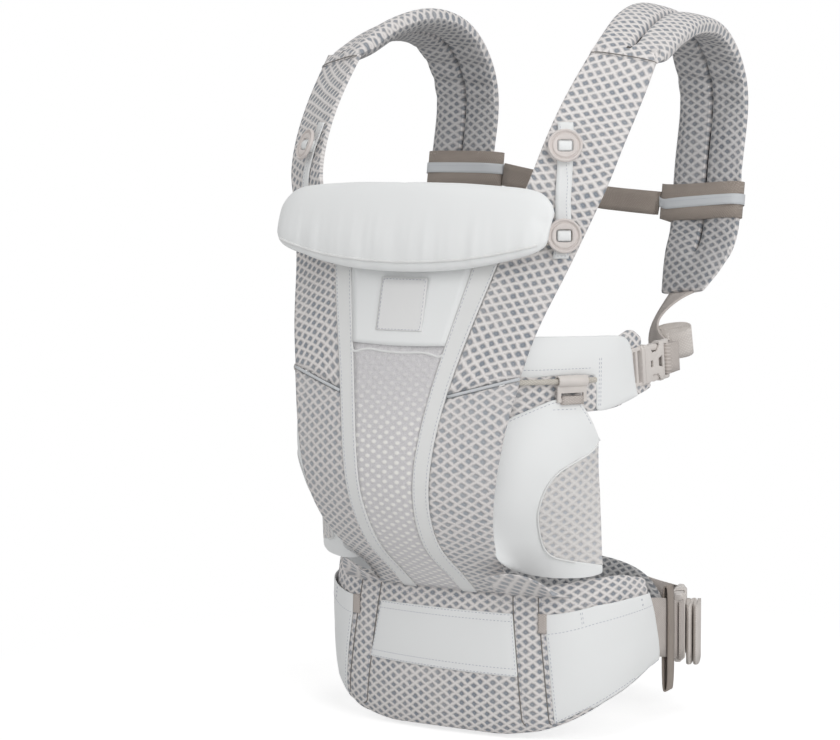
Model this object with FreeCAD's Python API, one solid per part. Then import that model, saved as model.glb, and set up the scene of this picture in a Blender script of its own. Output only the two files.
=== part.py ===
"""Soft structured baby carrier, worn on the front, as an assembly of separate sewn and moulded pieces.

Frame: millimetres, +Z up. The front panel faces -Y and the wearer's right-hand side of the drawing is +X.
The origin is the centre of the wearer's waist, level with the lowest edge of the waistband.
"""
import FreeCAD, Part
import math
import os
from FreeCAD import Vector

os.makedirs("parts", exist_ok=True)

# ------------------------------------------------------------------ driving dimensions
# wearer's waist, as a ring of tangent arcs read by the direction (heading) in which the ring runs
WAIST_HALF_WIDTH = 134.0
WAIST_FRONT_Y = -107.0
FRONT_HEADING = 12.0
FRONT_CORNER_RADIUS = 60.0
FRONT_CORNER_HEADING = 80.0
SIDE_RADIUS = 197.0
SIDE_HEADING = 108.0
REAR_CORNER_RADIUS = 58.0
REAR_CORNER_HEADING = 154.0

CLEAR = 0.3                    # air between two sewn layers
RUN_CLEAR = 0.6                # air round a piece that slides

# fabrics and fillings
LINING = 1.5
MESH = 3.0
SOFTSHELL = 1.6
TAPE = 0.8
BELT_FOAM = 8.0
BINDING_PROUD = 0.9
YOKE_PROUD = 0.6

# waistband, its side view as (y, z) along the lower and the upper edge
BELT_LOWER_EDGE = [(-135, 0), (-110, 0), (-97, 12), (-75, 27), (-49, 39), (-14, 54)]
BELT_UPPER_EDGE = [(-135, 116), (-110, 119), (-86, 129), (-60, 129), (-38, 123)]
BELT_END_SLACK = 4.0           # how far the filling stops short of each edge
PATCH_HALF_WIDTH = 68.0
PATCH_BOTTOM = 53.0
PATCH_TOP = 103.0
POCKET_START_X = 97.0
POCKET_TOP_EDGE = [(-135, 100), (-110, 103), (-86, 111), (-60, 113), (-34, 110)]
TAB_SIZE = (6.0, 16.0)
TAB_TOP = 104.0

# waist webbing and its buckle
WAIST_WEB = 50.0
WAIST_WEB_Z = 84.0
WAIST_BUCKLE_Z = 74.0          # the buckle hangs a little lower
WAIST_TAIL_DROP = 7.0          # and its folded tail lower still
WEB_THICK = 1.8
WEB_OFFSET = 9.2               # from the waist ring to the inner face of the webbing
SAFETY_LOOP_WIDTH = 14.0
SAFETY_LOOP_THICK = 1.2
SAFETY_LOOP_DROP = 33.0
SAFETY_LOOP_RISE = 5.0
SAFETY_HEADING = 100.0
LUMBAR_Z = 83.0
LUMBAR_HALF_SWEEP = 27.0
LUMBAR_INNER = -5.0            # how far the pad stands inside the waist ring
LUMBAR_HALF_HEIGHT = 38.0
LUMBAR_END_HALF_HEIGHT = 13.0
LUMBAR_TIP = 0.4               # share of the end's height that stays upright
# shares of the half length and of the rise to the middle
LUMBAR_RISE = [(0.87, 0.52), (0.55, 0.8), (0.27, 0.96)]
LUMBAR_GAP = 2.0               # between the pad and the webbing behind it
LUMBAR_SKIN = 1.6
SLEEVE_HALF_SWEEP = 12.0
# where the pad, its pocket and the sleeve all have facet lines
LUMBAR_TURNS = (0.0, 6.0, SLEEVE_HALF_SWEEP, 20.0)

# front panel: one row per height, lowest first:
# z, y at the middle, half width, y at the side edge, binding's inner and outer edge
PANEL = [
    (119.0, -121.0, 62.0, -117.0, 23.0, 36.0),
    (138.0, -147.0, 70.0, -128.0, 22.5, 36.0),
    (153.0, -169.0, 75.0, -150.0, 22.0, 36.0),
    (170.0, -185.0, 81.0, -167.0, 22.0, 35.5),
    (200.0, -200.0, 90.0, -181.0, 25.0, 38.5),
    (231.0, -202.0, 96.0, -184.0, 27.5, 42.0),
    (265.0, -197.0, 102.0, -180.0, 32.5, 47.0),
    (300.0, -189.0, 109.0, -172.0, 39.0, 54.0),
    (341.0, -178.0, 118.0, -162.0, 48.5, 65.0),
    (382.0, -169.0, 131.0, -139.0, 58.0, 77.0),
    (413.0, -158.0, 141.0, -127.0, 64.0, 84.0),
    (438.0, -150.0, 149.0, -116.0, 70.0, 91.0),
]
WINDOW_TOP = 326.0
PIPING_INNER_Z = 286.0
PIPING_OUTER_Z = 302.0
PIPING_RADIUS = 1.6
LABEL_HALF_WIDTH = 22.0
LABEL_BOTTOM = 336.0
LABEL_TOP = 379.0
LINING_DEPTH = 6.0             # from the front face of the panel to the front face of its lining

# shoulder strap: the flat front run is part of the upper side panel
STRAP_WIDTH = 64.0
STRAP_PADDED = 17.0
STRAP_X = 127.0
STRAP_RUN_LOW = (101.0, 412.0)     # y, z where the straight rear run starts
STRAP_RUN_HIGH = (118.0, 522.0)    # y, z where it ends
STRAP_TURNED = (0.848, 0.53, 0.0)  # the direction across the flat run
# the flat front run, from the panel's top edge to the seam where the padding starts:
# centre, direction across
STRAP_FLAT_RUN = [
    ((123.0, -133.0, 440.0), (0.855, 0.52, 0.0)),
    ((130.0, -130.0, 456.0), STRAP_TURNED),
    ((135.0, -117.0, 486.0), STRAP_TURNED),
    ((139.0, -91.0, 524.0), STRAP_TURNED),
    ((140.0, -64.0, 555.0), (0.90, 0.44, 0.0)),
]
# the padded run over the shoulder and the run below the straight one:
# centre, direction across, width share, thickness share
STRAP_OVER = [
    ((140.0, -61.0, 558.0), (0.90, 0.44, 0.0), 1.0, 0.45),
    ((139.0, -48.0, 569.0), (0.92, 0.39, 0.0), 1.0, 0.9),
    ((135.0, -12.0, 589.0), (0.96, 0.28, 0.0), 1.0, 1.0),
    ((130.0, 32.0, 597.0), (0.99, 0.12, 0.0), 1.0, 1.0),
    ((128.0, 74.0, 587.0), (1.0, 0.0, 0.0), 1.0, 1.0),
    ((127.0, 105.0, 559.0), (1.0, 0.0, 0.0), 1.0, 1.0),
]
STRAP_END = [
    ((125.5, 86.0, 384.0), (1.0, 0.0, 0.0), 0.92, 0.9),
    ((123.5, 69.0, 359.0), (1.0, -0.12, 0.1), 0.68, 0.5),
]
CORE_SHARE = 0.62              # how much of the strap's width and thickness its pocket takes
CORE_EXTRA = 12.0              # and how much wider than that share it is
CORE_END = 8.0                 # how far the pocket stops short of each end

# wing, leg panel and the cord that joins them
WING_PATH = [(102.0, -161.0), (136.0, -112.0), (149.0, -62.0)]
WING_TOP = 336.0
WING_HEM = 306.0
WING_BOTTOM = 272.0
WING_CUFF_Y = -100.0           # rearward of this the cover is full height
WING_PAD_THICK = 4.0
WING_PAD_PAST = 16.0           # how far the pad reaches past the cover's rear end
WING_CUTTER = 30.0             # how far the cutting outlines reach past the wing's ends
CORD_RADIUS = 2.3
CORD_Z = 298.5
CORD_OFFSET = 6.6              # from the wing's path to the middle of its cord
LEG_ROWS = [
    (134.0, (68.0, -119.5), (102.0, -111.0), (137.0, -94.0)),
    (165.0, (70.0, -153.0), (111.0, -124.0), (140.0, -94.0)),
    (195.0, (79.0, -173.0), (122.0, -137.0), (140.0, -95.0)),
    (230.0, (85.0, -176.0), (131.0, -142.0), (141.0, -99.0)),
    (258.0, (91.0, -172.0), (136.0, -133.0), (145.0, -104.0)),
]
# seen square on, as (across, z): the panel's lower corner, sides and shoulders, and the mesh insert
LEG_SIDES = [(-120.0, 240.0), (-120.0, 100.0), (60.0, 100.0), (60.0, 236.0), (6.0, 248.0)]
LEG_TOP_ACROSS = (-14.0, -42.0)
LEG_SHOULDER = (-74.0, 262.0)
LEG_INSERT = [
    (40.0, 246.0), (-6.0, 242.0), (-22.0, 234.0), (-36.0, 223.0), (-46.0, 208.0),
    (-51.0, 190.0), (-50.0, 172.0), (-42.0, 161.0), (-26.0, 156.0), (40.0, 151.0),
]
LEG_INSERT_GAP = 0.5           # between the insert and the edge sewn round it
HOOK_WIDTH = 26.0
HOOK_SHARE = 0.375             # where the hook sits along the wing
HOOK_BORE = 3.3
HOOK_WALL = 1.4
HOOK_PLATE = 2.4
HOOK_SLOT = (-13.4, -9.4)      # below the cord's middle
HOOK_BOTTOM = -16.8
TAB_WIDTH = 19.0
TAB_THICK = 1.3

# shoulder buckle and webbing
SHOULDER_WEB = 25.0
BUCKLE_Z = (WING_TOP + WING_BOTTOM) / 2 - 0.5
BUCKLE_RISE = 6.0              # degrees, towards the strap
BUCKLE_NOTCH = 1.2             # air between the wing's pad and the buckle
# where the webbing passes between the strap's end and the buckle: centre, direction across
SHOULDER_WEB_RUN = [
    ((120.5, 54.0, 351.0), (0.88, -0.4, 0.3)),
    ((118.5, 29.5, 336.0), (0.7, -0.48, 0.53)),
    ((123.0, 18.0, 322.0), (0.45, -0.3, 0.84)),
    ((137.0, 7.0, 312.0), (0.15, -0.1, 0.98)),
]
ROLL_TURNS = 4
ROLL_CENTRE = (132.7, 40.5, 319.5)
ROLL_STRAIGHT = 12.0
ROLL_CORE = 1.7                # radius of the innermost turn
ROLL_AIR = 0.5                 # between turns

# head support: one station per distance from the middle: x, bottom, top, thickness
PILLOW = [
    (0.0, 383.5, 455.5, 22.0),
    (42.0, 383.0, 455.5, 22.0),
    (76.0, 384.0, 455.0, 22.0),
    (104.0, 388.5, 453.0, 20.0),
    (122.0, 398.0, 446.0, 16.0),
    (131.0, 408.0, 436.0, 11.0),
]
PILLOW_MIDDLE_Z = 419.0
PILLOW_Y = -169.5              # mid thickness at the middle
PILLOW_WRAP = 8.0              # how far the ends curve back
PILLOW_LEAN = 0.32             # the panel's slope behind it
PILLOW_SHELL = 3.0
LOOP_CORD_RADIUS = 1.1
LOOP_ANCHOR_X = 108.0          # where the loops are sewn to the pillow

# button strips and buttons: (x, z) along the middle of the strip, lowest first
STRIP_RUN = [(126.5, 396), (126.8, 413), (125.5, 428), (125.0, 440), (126.4, 456), (125.2, 470),
             (123.2, 483), (120.4, 497), (117.1, 510)]
STRIP_WIDTH = 12.5
BUTTON_RADIUS = 14.0
BUTTON_SIDES = 14
BUTTON_FLOOR = 1.2             # what is left under the square opening
BUTTON_THICK = 3.4
BUTTON_HOLE = (8.0, 9.0)
BUTTON_NECK = 4.2              # height of the neck under the disc
BUTTON_NECK_HALF = 4.8
BUTTON_STATIONS = (1, 6)       # places in STRIP_RUN

# chest strap
CHEST_WEB = 20.0
CHEST_LEFT_Z = 461.0
CHEST_RIGHT_Z = 435.0
CHEST_BAND_HEIGHT = 28.0
CHEST_BAND_THICK = 1.4
CHEST_WEB_LEFT_Z = 457.0       # where the webbing meets each band
CHEST_WEB_RIGHT_Z = 427.0
CHEST_MOUTH_X = 2.0
CHEST_EAR = 9.0                # how far each band reaches past its strap


# ------------------------------------------------------------------ small geometry tools
def unit(vector):
    """The vector at length one."""
    return vector * (1.0 / vector.Length)


def mirrored(shape):
    """The same piece on the other side of the middle plane."""
    return shape.mirror(Vector(0, 0, 0), Vector(1, 0, 0))


def both(shape):
    """A piece and its mirror image in one compound."""
    return Part.makeCompound([shape, mirrored(shape)])


def save(node, shape):
    """Write one sub-part."""
    shape.exportStep("parts/" + node + ".step")


def save_pair(name, shape):
    """Write a right-hand piece and its left-hand mirror image."""
    save("right_" + name, shape)
    save("left_" + name, mirrored(shape))


def straight(start, end):
    """A straight edge."""
    return Part.LineSegment(start, end).toShape()


def polygon(points):
    """A closed wire of straight edges."""
    return Part.makePolygon(points + [points[0]])


def prism(points, direction):
    """A closed polygon pushed along a direction."""
    return Part.Face(polygon(points)).extrude(direction)


def side_prism(lower, upper, reach=400.0):
    """A block cut to a side view: a lower and an upper edge of (y, z) points, seen along X."""
    low = [Vector(-reach, y, z) for y, z in lower]
    top = [Vector(-reach, y, z) for y, z in upper]
    return prism(low + list(reversed(top)), Vector(2 * reach, 0, 0))


def closed_solid(faces):
    """The solid that a closed set of flat faces encloses."""
    shell = Part.Shell(faces)
    if not shell.isClosed():
        shell.sewShape()
    solid = Part.Solid(shell)
    if solid.Volume < 0:
        solid.reverse()
    return solid


def quad(a, b, c, d):
    """Two flat triangles between four corners in order."""
    return [Part.Face(polygon([a, b, c])), Part.Face(polygon([a, c, d]))]


def ring_loft(sections):
    """A closed body with flat facets through closed flat polygons with equal numbers of corners."""
    faces = [Part.Face(polygon(sections[0])), Part.Face(polygon(sections[-1]))]
    for low, high in zip(sections, sections[1:]):
        for j in range(len(low)):
            k = (j + 1) % len(low)
            faces += quad(low[j], low[k], high[k], high[j])
    return closed_solid(faces)


def tube(points, radius, sides=8):
    """A round cord with flat facets along a run of points."""
    sections = []
    for i, p in enumerate(points):
        along = unit(points[min(i + 1, len(points) - 1)] - points[max(i - 1, 0)])
        side = unit(along.cross(Vector(0, 0, 1)))
        up = side.cross(along)
        angles = [2 * math.pi * k / sides for k in range(sides)]
        sections.append([p + side * (radius * math.cos(a)) + up * (radius * math.sin(a)) for a in angles])
    return ring_loft(sections)


def frame(origin, along, outward):
    """A placement whose x axis runs along and whose y axis points outward as nearly as it can."""
    x_axis = unit(along)
    z_axis = unit(x_axis.cross(outward))
    y_axis = z_axis.cross(x_axis)
    matrix = FreeCAD.Matrix(
        x_axis.x, y_axis.x, z_axis.x, origin.x,
        x_axis.y, y_axis.y, z_axis.y, origin.y,
        x_axis.z, y_axis.z, z_axis.z, origin.z,
        0, 0, 0, 1,
    )
    return FreeCAD.Placement(matrix)


def placed(shape, placement):
    """A copy of a local shape in its place."""
    moved = shape.copy()
    moved.Placement = placement.multiply(moved.Placement)
    return moved


# ------------------------------------------------------------------ sheets
def grid_normal(grid, i, j):
    """The outward direction of a sheet at one point of its grid."""
    row = grid[i]
    across = row[min(j + 1, len(row) - 1)] - row[max(j - 1, 0)]
    upward = grid[min(i + 1, len(grid) - 1)][j] - grid[max(i - 1, 0)][j]
    return unit(across.cross(upward))


def sheet(grid, lift, thickness):
    """A sewn sheet with flat facets. The grid's rows run from the lowest up, each from the sheet's left.

    lift is how far the outer face stands off the grid, and the sheet has its thickness behind that face.
    """
    outer, inner = [], []
    for i, row in enumerate(grid):
        normals = [grid_normal(grid, i, j) for j in range(len(row))]
        outer.append([p + n * lift for p, n in zip(row, normals)])
        inner.append([p + n * (lift - thickness) for p, n in zip(row, normals)])
    faces = []
    last_row, last = len(grid) - 1, len(grid[0]) - 1
    for i in range(last_row):
        for j in range(last):
            for side in (outer, inner):
                faces += quad(side[i][j], side[i][j + 1], side[i + 1][j + 1], side[i + 1][j])
        for j in (0, last):
            faces += quad(outer[i][j], outer[i + 1][j], inner[i + 1][j], inner[i][j])
    for i in (0, last_row):
        for j in range(last):
            faces += quad(outer[i][j], outer[i][j + 1], inner[i][j + 1], inner[i][j])
    return closed_solid(faces)


# ------------------------------------------------------------------ waist ring
class WaistRing:
    """The wearer's waist as five tangent arcs a side, read by heading in degrees from the front middle."""

    def __init__(self):
        s = [math.sin(math.radians(h)) for h in self.headings()]
        corner = FRONT_CORNER_RADIUS * (s[2] - s[1]) + SIDE_RADIUS * (1 - s[2])
        front_radius = (WAIST_HALF_WIDTH - corner) / s[1]
        radii = [front_radius, FRONT_CORNER_RADIUS, SIDE_RADIUS, REAR_CORNER_RADIUS]
        self.arcs = []
        centre = Vector(0, WAIST_FRONT_Y + front_radius, 0)
        for k, radius in enumerate(radii):
            self.arcs.append((self.headings()[k], self.headings()[k + 1], centre, radius))
            end = self.on_arc(centre, radius, self.headings()[k + 1])
            if k + 1 < len(radii):
                centre = end - self.normal(self.headings()[k + 1]) * radii[k + 1]
        rear_radius = end.x / s[4]
        centre = end - self.normal(REAR_CORNER_HEADING) * rear_radius
        self.arcs.append((REAR_CORNER_HEADING, 180.0, centre, rear_radius))
        self.rear_centre = centre
        self.rear_radius = rear_radius

    @staticmethod
    def headings():
        """The headings at which one arc ends and the next begins."""
        return [0.0, FRONT_HEADING, FRONT_CORNER_HEADING, SIDE_HEADING, REAR_CORNER_HEADING, 180.0]

    @staticmethod
    def normal(heading):
        """The outward direction."""
        return Vector(math.sin(math.radians(heading)), -math.cos(math.radians(heading)), 0)

    @staticmethod
    def tangent(heading):
        """The direction of travel, from the front round the right side to the rear."""
        return Vector(math.cos(math.radians(heading)), math.sin(math.radians(heading)), 0)

    def on_arc(self, centre, radius, heading):
        """A point of one arc."""
        return centre + self.normal(heading) * radius

    def point(self, heading, offset=0.0):
        """A point of the ring, or of the ring widened by an offset. Negative headings are the left side."""
        for low, high, centre, radius in self.arcs:
            if abs(heading) <= high + 1e-9:
                p = self.on_arc(centre, radius + offset, abs(heading))
                return Vector(math.copysign(1, heading) * p.x, p.y, 0)
        raise ValueError("heading past the rear middle")

    def run(self, start, end, offset):
        """Arc edges from one heading to another at an offset from the ring."""
        breaks = [sign * h for h in self.headings() for sign in (-1, 1)]
        stops = sorted(h for h in set(breaks) if start < h < end)
        stops = [start] + stops + [end]
        edges = []
        for a, b in zip(stops, stops[1:]):
            middle = self.point((a + b) / 2, offset)
            edges.append(Part.Arc(self.point(a, offset), middle, self.point(b, offset)).toShape())
        return edges

    def band(self, start, end, inner, outer, low, high):
        """An upright band that follows the ring between two offsets and two heights."""
        outside = self.run(start, end, outer)
        inside = self.run(start, end, inner)
        caps = [
            straight(self.point(start, inner), self.point(start, outer)),
            straight(self.point(end, inner), self.point(end, outer)),
        ]
        wire = Part.Wire(Part.__sortEdges__(outside + inside + caps))
        face = Part.Face(wire)
        face.translate(Vector(0, 0, low))
        return face.extrude(Vector(0, 0, high - low))


RING = WaistRing()


# ------------------------------------------------------------------ waistband
COVER_INNER = LINING + BELT_FOAM + 2 * CLEAR
COVER_OUTER = COVER_INNER + MESH
POCKET_INNER = COVER_OUTER + CLEAR
BELT_SPAN = 100.0              # heading past which the slanted pad ends have cut everything away


def belt_profile(inset=0.0, upper=None):
    """The waistband's side view, drawn in by an inset, as a block."""
    top_edge = upper or BELT_UPPER_EDGE
    low = [(y, z + inset) for y, z in BELT_LOWER_EDGE[:-1]]
    low.append((BELT_LOWER_EDGE[-1][0] - inset, BELT_LOWER_EDGE[-1][1] + inset))
    top = [(y, z - inset) for y, z in top_edge[:-1]]
    top.append((top_edge[-1][0] - inset, top_edge[-1][1] - inset))
    return side_prism(low, top)


def waistband():
    """Cover, filling, lining, the hook-and-loop patch in front, the side pockets and their corner tabs."""
    low, high = -20.0, 200.0
    full = belt_profile()
    save("waistband_lining", RING.band(-BELT_SPAN, BELT_SPAN, 0, LINING, low, high).common(full))
    foam = RING.band(-BELT_SPAN, BELT_SPAN, LINING + CLEAR, LINING + CLEAR + BELT_FOAM, low, high)
    save("waistband_foam", foam.common(belt_profile(BELT_END_SLACK)))
    cover = RING.band(-BELT_SPAN, BELT_SPAN, COVER_INNER, COVER_OUTER, low, high)
    save("waistband_cover", cover.common(full))

    patch = RING.band(-60, 60, POCKET_INNER, POCKET_INNER + SOFTSHELL, PATCH_BOTTOM, PATCH_TOP)
    patch_block = Part.makeBox(2 * PATCH_HALF_WIDTH, 300, 400, Vector(-PATCH_HALF_WIDTH, -300, -100))
    save("waistband_patch", patch.common(patch_block))

    pocket = RING.band(1, BELT_SPAN, POCKET_INNER, POCKET_INNER + SOFTSHELL, low, high)
    pocket = pocket.common(belt_profile(1.0, POCKET_TOP_EDGE))
    ahead = Part.makeBox(300, 400, 400, Vector(POCKET_START_X, -300, -100))
    save("side_pockets", both(pocket.common(ahead)))

    width, height = TAB_SIZE
    tab = RING.band(1, 60, POCKET_INNER, POCKET_INNER + SOFTSHELL, TAB_TOP - height, TAB_TOP)
    edge = POCKET_START_X - CLEAR - width
    save("pocket_tabs", both(tab.common(Part.makeBox(width, 300, 400, Vector(edge, -300, -100)))))


# ------------------------------------------------------------------ front panel
def panel_row(z):
    """The panel's values at a height, in straight steps between the rows of PANEL."""
    for low, high in zip(PANEL, PANEL[1:]):
        if z <= high[0]:
            share = (z - low[0]) / (high[0] - low[0])
            return [a + (b - a) * share for a, b in zip(low, high)]
    return list(PANEL[-1])


def panel_point(x, z):
    """A point on the front face of the panel."""
    _, y_middle, half_width, y_edge, _, _ = panel_row(z)
    return Vector(x, y_middle + (y_edge - y_middle) * (x / half_width) ** 2, z)


def panel_heights(bottom, top):
    """The heights at which a sheet between two heights has a row."""
    return [bottom] + [row[0] for row in PANEL if bottom + 2 < row[0] < top - 2] + [top]


def panel_sheet(bottom, top, left, right, lift, thickness, steps=4):
    """A piece of the panel between two heights. left and right give its x limits at a height."""
    grid = []
    for z in panel_heights(bottom, top):
        a, b = left(z), right(z)
        grid.append([panel_point(a + (b - a) * k / steps, z) for k in range(steps + 1)])
    return sheet(grid, lift, thickness)


def binding_inner(z):
    """The binding's edge next to the window at a height."""
    return panel_row(z)[4]


def binding_outer(z):
    """The binding's edge next to the side panel at a height."""
    return panel_row(z)[5]


def piping_z(x):
    """The height of the piping seam, which rises towards the side edge."""
    start, end = binding_outer(PIPING_INNER_Z), panel_row(PIPING_OUTER_Z)[2]
    return PIPING_INNER_Z + (PIPING_OUTER_Z - PIPING_INNER_Z) * (x - start) / (end - start)


PANEL_BOTTOM = PANEL[0][0]
PANEL_TOP = PANEL[-1][0]


def seam_row(above, steps):
    """Points just above or below the piping seam, from the binding to the side edge."""
    gap = (PIPING_RADIUS + CLEAR) * (1 if above else -1)
    start = binding_outer(PIPING_INNER_Z) + 2 * CLEAR
    end = panel_row(PIPING_OUTER_Z)[2]
    row = []
    for k in range(steps + 1):
        x = start + (end - start) * k / steps
        row.append(panel_point(x, piping_z(x) + gap))
    return row


def strap_row(centre, across, half, steps):
    """Points across the flat strap, from its inner to its outer edge."""
    return [centre + across * (half * (2 * k / steps - 1)) for k in range(steps + 1)]


def side_panel():
    """The right upper side panel, from the piping seam up to the seam where the padding starts."""
    steps = 3
    grid = [seam_row(True, steps)]
    for z in [row[0] for row in PANEL if PIPING_OUTER_Z < row[0] < PANEL_TOP]:
        start, end = binding_outer(z) + 2 * CLEAR, panel_row(z)[2]
        grid.append([panel_point(start + (end - start) * k / steps, z) for k in range(steps + 1)])
    for centre, across in STRAP_FLAT_RUN:
        grid.append(strap_row(Vector(*centre), unit(Vector(*across)), STRAP_WIDTH / 2, steps))
    return sheet(grid, 0.0, MESH)


def seat_panel():
    """The right lower side panel, from the waistband up to the piping seam."""
    steps = 3
    grid = []
    for z in panel_heights(PANEL_BOTTOM, PIPING_INNER_Z - 12):
        start, end = binding_outer(z) + CLEAR, panel_row(z)[2]
        grid.append([panel_point(start + (end - start) * k / steps, z) for k in range(steps + 1)])
    grid.append(seam_row(False, steps))
    return sheet(grid, 0.0, MESH)


def front_panel():
    """Window mesh, yoke, blank label, bindings, side panels, piping and lining."""
    def mesh_edge(z):
        return binding_inner(z) - CLEAR

    def minus(edge):
        return lambda z: -edge(z)

    window = panel_sheet(PANEL_BOTTOM, WINDOW_TOP - CLEAR, minus(mesh_edge), mesh_edge, 0.0, LINING)
    save("window_mesh", window)
    yoke = panel_sheet(WINDOW_TOP, PANEL_TOP, minus(mesh_edge), mesh_edge, YOKE_PROUD, SOFTSHELL)
    save("front_yoke", yoke)
    label = panel_sheet(
        LABEL_BOTTOM, LABEL_TOP, lambda z: -LABEL_HALF_WIDTH, lambda z: LABEL_HALF_WIDTH,
        YOKE_PROUD + CLEAR + TAPE, TAPE,
    )
    save("blank_label", label)
    binding = panel_sheet(
        PANEL_BOTTOM, PANEL_TOP, binding_inner, binding_outer, BINDING_PROUD, BINDING_PROUD + SOFTSHELL, 2,
    )
    save("seat_bindings", both(binding))
    save_pair("side_panel", side_panel())
    save_pair("seat_panel", seat_panel())

    start = binding_outer(PIPING_INNER_Z) + CLEAR
    end = panel_row(PIPING_OUTER_Z)[2]
    middle = (start + end) / 2
    points = [panel_point(x, piping_z(x)) for x in (start + 1, middle, end)]
    save("reflective_piping", both(tube(points, PIPING_RADIUS, 6)))

    def lining_edge(z):
        return panel_row(z)[2] - 17

    lining = panel_sheet(
        PANEL_BOTTOM + 4, PANEL_TOP - 4, minus(lining_edge), lining_edge, -LINING_DEPTH, LINING, 6,
    )
    save("body_lining", lining)


# ------------------------------------------------------------------ shoulder straps
def strap_path():
    """Centre points of the padded run, each with its direction across, width share and thickness share."""
    level = (1.0, 0.0, 0.0)
    run = [((STRAP_X, *end), level, 1.0, 1.0) for end in (STRAP_RUN_HIGH, STRAP_RUN_LOW)]
    stations = STRAP_OVER + run + STRAP_END
    return [(Vector(*centre), unit(Vector(*across)), wide, thick)
            for centre, across, wide, thick in stations]


def strap_sections(width, thickness, groove, ends=0.0):
    """Closed sections of the padded run: two soft channels with a dip between them."""
    path = strap_path()
    sections = []
    for i, (centre, across, width_share, thick_share) in enumerate(path):
        before = path[max(i - 1, 0)][0]
        after = path[min(i + 1, len(path) - 1)][0]
        along = unit(after - before)
        if i == 0:
            centre = centre + along * ends
        if i == len(path) - 1:
            centre = centre - along * ends
        out = unit(across.cross(along))
        half = width * width_share / 2
        deep = thickness * thick_share / 2
        profile = [
            (-1.0, 0.0), (-0.86, 0.8), (-0.5, 1.0), (-0.1, 0.85), (0.0, groove), (0.1, 0.85),
            (0.5, 1.0), (0.86, 0.8), (1.0, 0.0), (0.86, -0.8), (0.0, -1.0), (-0.86, -0.8),
        ]
        sections.append([centre + across * (u * half) + out * (v * deep) for u, v in profile])
    return sections


def shoulder_straps():
    """Padded covers with their foam cores, which fill a pocket inside each cover."""
    outer = ring_loft(strap_sections(STRAP_WIDTH, STRAP_PADDED, 0.55))
    core_width, core_thick = STRAP_WIDTH * CORE_SHARE + CORE_EXTRA, STRAP_PADDED * CORE_SHARE
    pocket = ring_loft(strap_sections(core_width, core_thick, 0.7, CORE_END))
    foam = ring_loft(strap_sections(core_width - 2 * RUN_CLEAR, core_thick - 2 * CLEAR, 0.7, CORE_END + 1))
    save_pair("strap_pad", outer.cut(pocket))
    save("strap_foams", both(foam))


# ------------------------------------------------------------------ wings and leg panels
class ArcPath:
    """A level arc through three (x, y) points, read by a share from 0 at the front to 1 at the rear."""

    def __init__(self, points):
        first, middle, last = [Vector(x, y, 0) for x, y in points]
        circle = Part.Circle(first, middle, last)
        self.centre = circle.Center
        self.radius = circle.Radius
        self.start = math.atan2(first.y - self.centre.y, first.x - self.centre.x)
        self.end = math.atan2(last.y - self.centre.y, last.x - self.centre.x)

    def normal(self, share):
        """The direction away from the arc's centre."""
        angle = self.start + (self.end - self.start) * share
        return Vector(math.cos(angle), math.sin(angle), 0)

    def along(self, share):
        """The direction of travel."""
        return Vector(0, 0, 1).cross(self.normal(share))

    def point(self, share, offset=0.0):
        """A point of the arc, or of the arc widened by an offset."""
        return self.centre + self.normal(share) * (self.radius + offset)

    def length(self):
        """The length from share 0 to share 1."""
        return self.radius * (self.end - self.start)

    def edge(self, offset, start=0.0, end=1.0):
        """An arc edge between two shares at an offset."""
        stops = [self.point(share, offset) for share in (start, (start + end) / 2, end)]
        return Part.Arc(stops[0], stops[1], stops[2]).toShape()

    def band(self, inner, outer, low, high, start=0.0, end=1.0):
        """An upright band along the arc between two offsets and two heights."""
        caps = [straight(self.point(share, inner), self.point(share, outer)) for share in (start, end)]
        rims = [self.edge(inner, start, end), self.edge(outer, start, end)]
        face = Part.Face(Part.Wire(Part.__sortEdges__(rims + caps)))
        face.translate(Vector(0, 0, low))
        return face.extrude(Vector(0, 0, high - low))


WING = ArcPath(WING_PATH)


def wings():
    """White cover with a full-height cuff at its rear end, the mesh pad behind it and the cord."""
    front = WING_PATH[0][1] - WING_CUTTER
    cuff_end = WING_PATH[2][1]
    outline = [
        (front, WING_HEM), (WING_CUFF_Y, WING_HEM - 3), (WING_CUFF_Y, WING_BOTTOM),
        (cuff_end - 22, WING_BOTTOM + 1), (cuff_end - 4, WING_BOTTOM + 8), (cuff_end, WING_BOTTOM + 14),
        (cuff_end - 3, WING_TOP - 16), (cuff_end - 10, WING_TOP - 2), (front, WING_TOP),
    ]
    block = prism([Vector(50, y, z) for y, z in outline], Vector(200, 0, 0))
    cover = WING.band(0, SOFTSHELL, WING_BOTTOM - 5, WING_TOP + 5).common(block)
    save_pair("wing", cover)

    notch = Buckle(SHOULDER_WEB).width / 2 + BUCKLE_NOTCH
    pad_outline = [
        (front, WING_BOTTOM), (cuff_end - 20, WING_BOTTOM + 0.5), (cuff_end + 6, WING_BOTTOM + 7),
        (cuff_end + 12, WING_BOTTOM + 12), (cuff_end + 9, BUCKLE_Z - notch),
        (cuff_end - 22, BUCKLE_Z - notch), (cuff_end - 22, BUCKLE_Z + notch),
        (cuff_end + 3, BUCKLE_Z + notch), (cuff_end + 1, WING_TOP + 3),
        (cuff_end - 8, WING_TOP + 2), (cuff_end - 16, WING_TOP - 2), (front, WING_TOP - 1),
    ]
    pad_block = prism([Vector(50, y, z) for y, z in pad_outline], Vector(200, 0, 0))
    past_end = 1.0 + WING_PAD_PAST / WING.length()
    pad = WING.band(-CLEAR - WING_PAD_THICK, -CLEAR, WING_BOTTOM - 5, WING_TOP + 5, 0, past_end)
    save("wing_pads", both(pad.common(pad_block)))

    points = [WING.point(share, CORD_OFFSET) for share in (-0.03, 0.12, 0.27, 0.42, 0.57)]
    save("wing_cords", both(tube([p + Vector(0, 0, CORD_Z) for p in points], CORD_RADIUS)))


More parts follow.
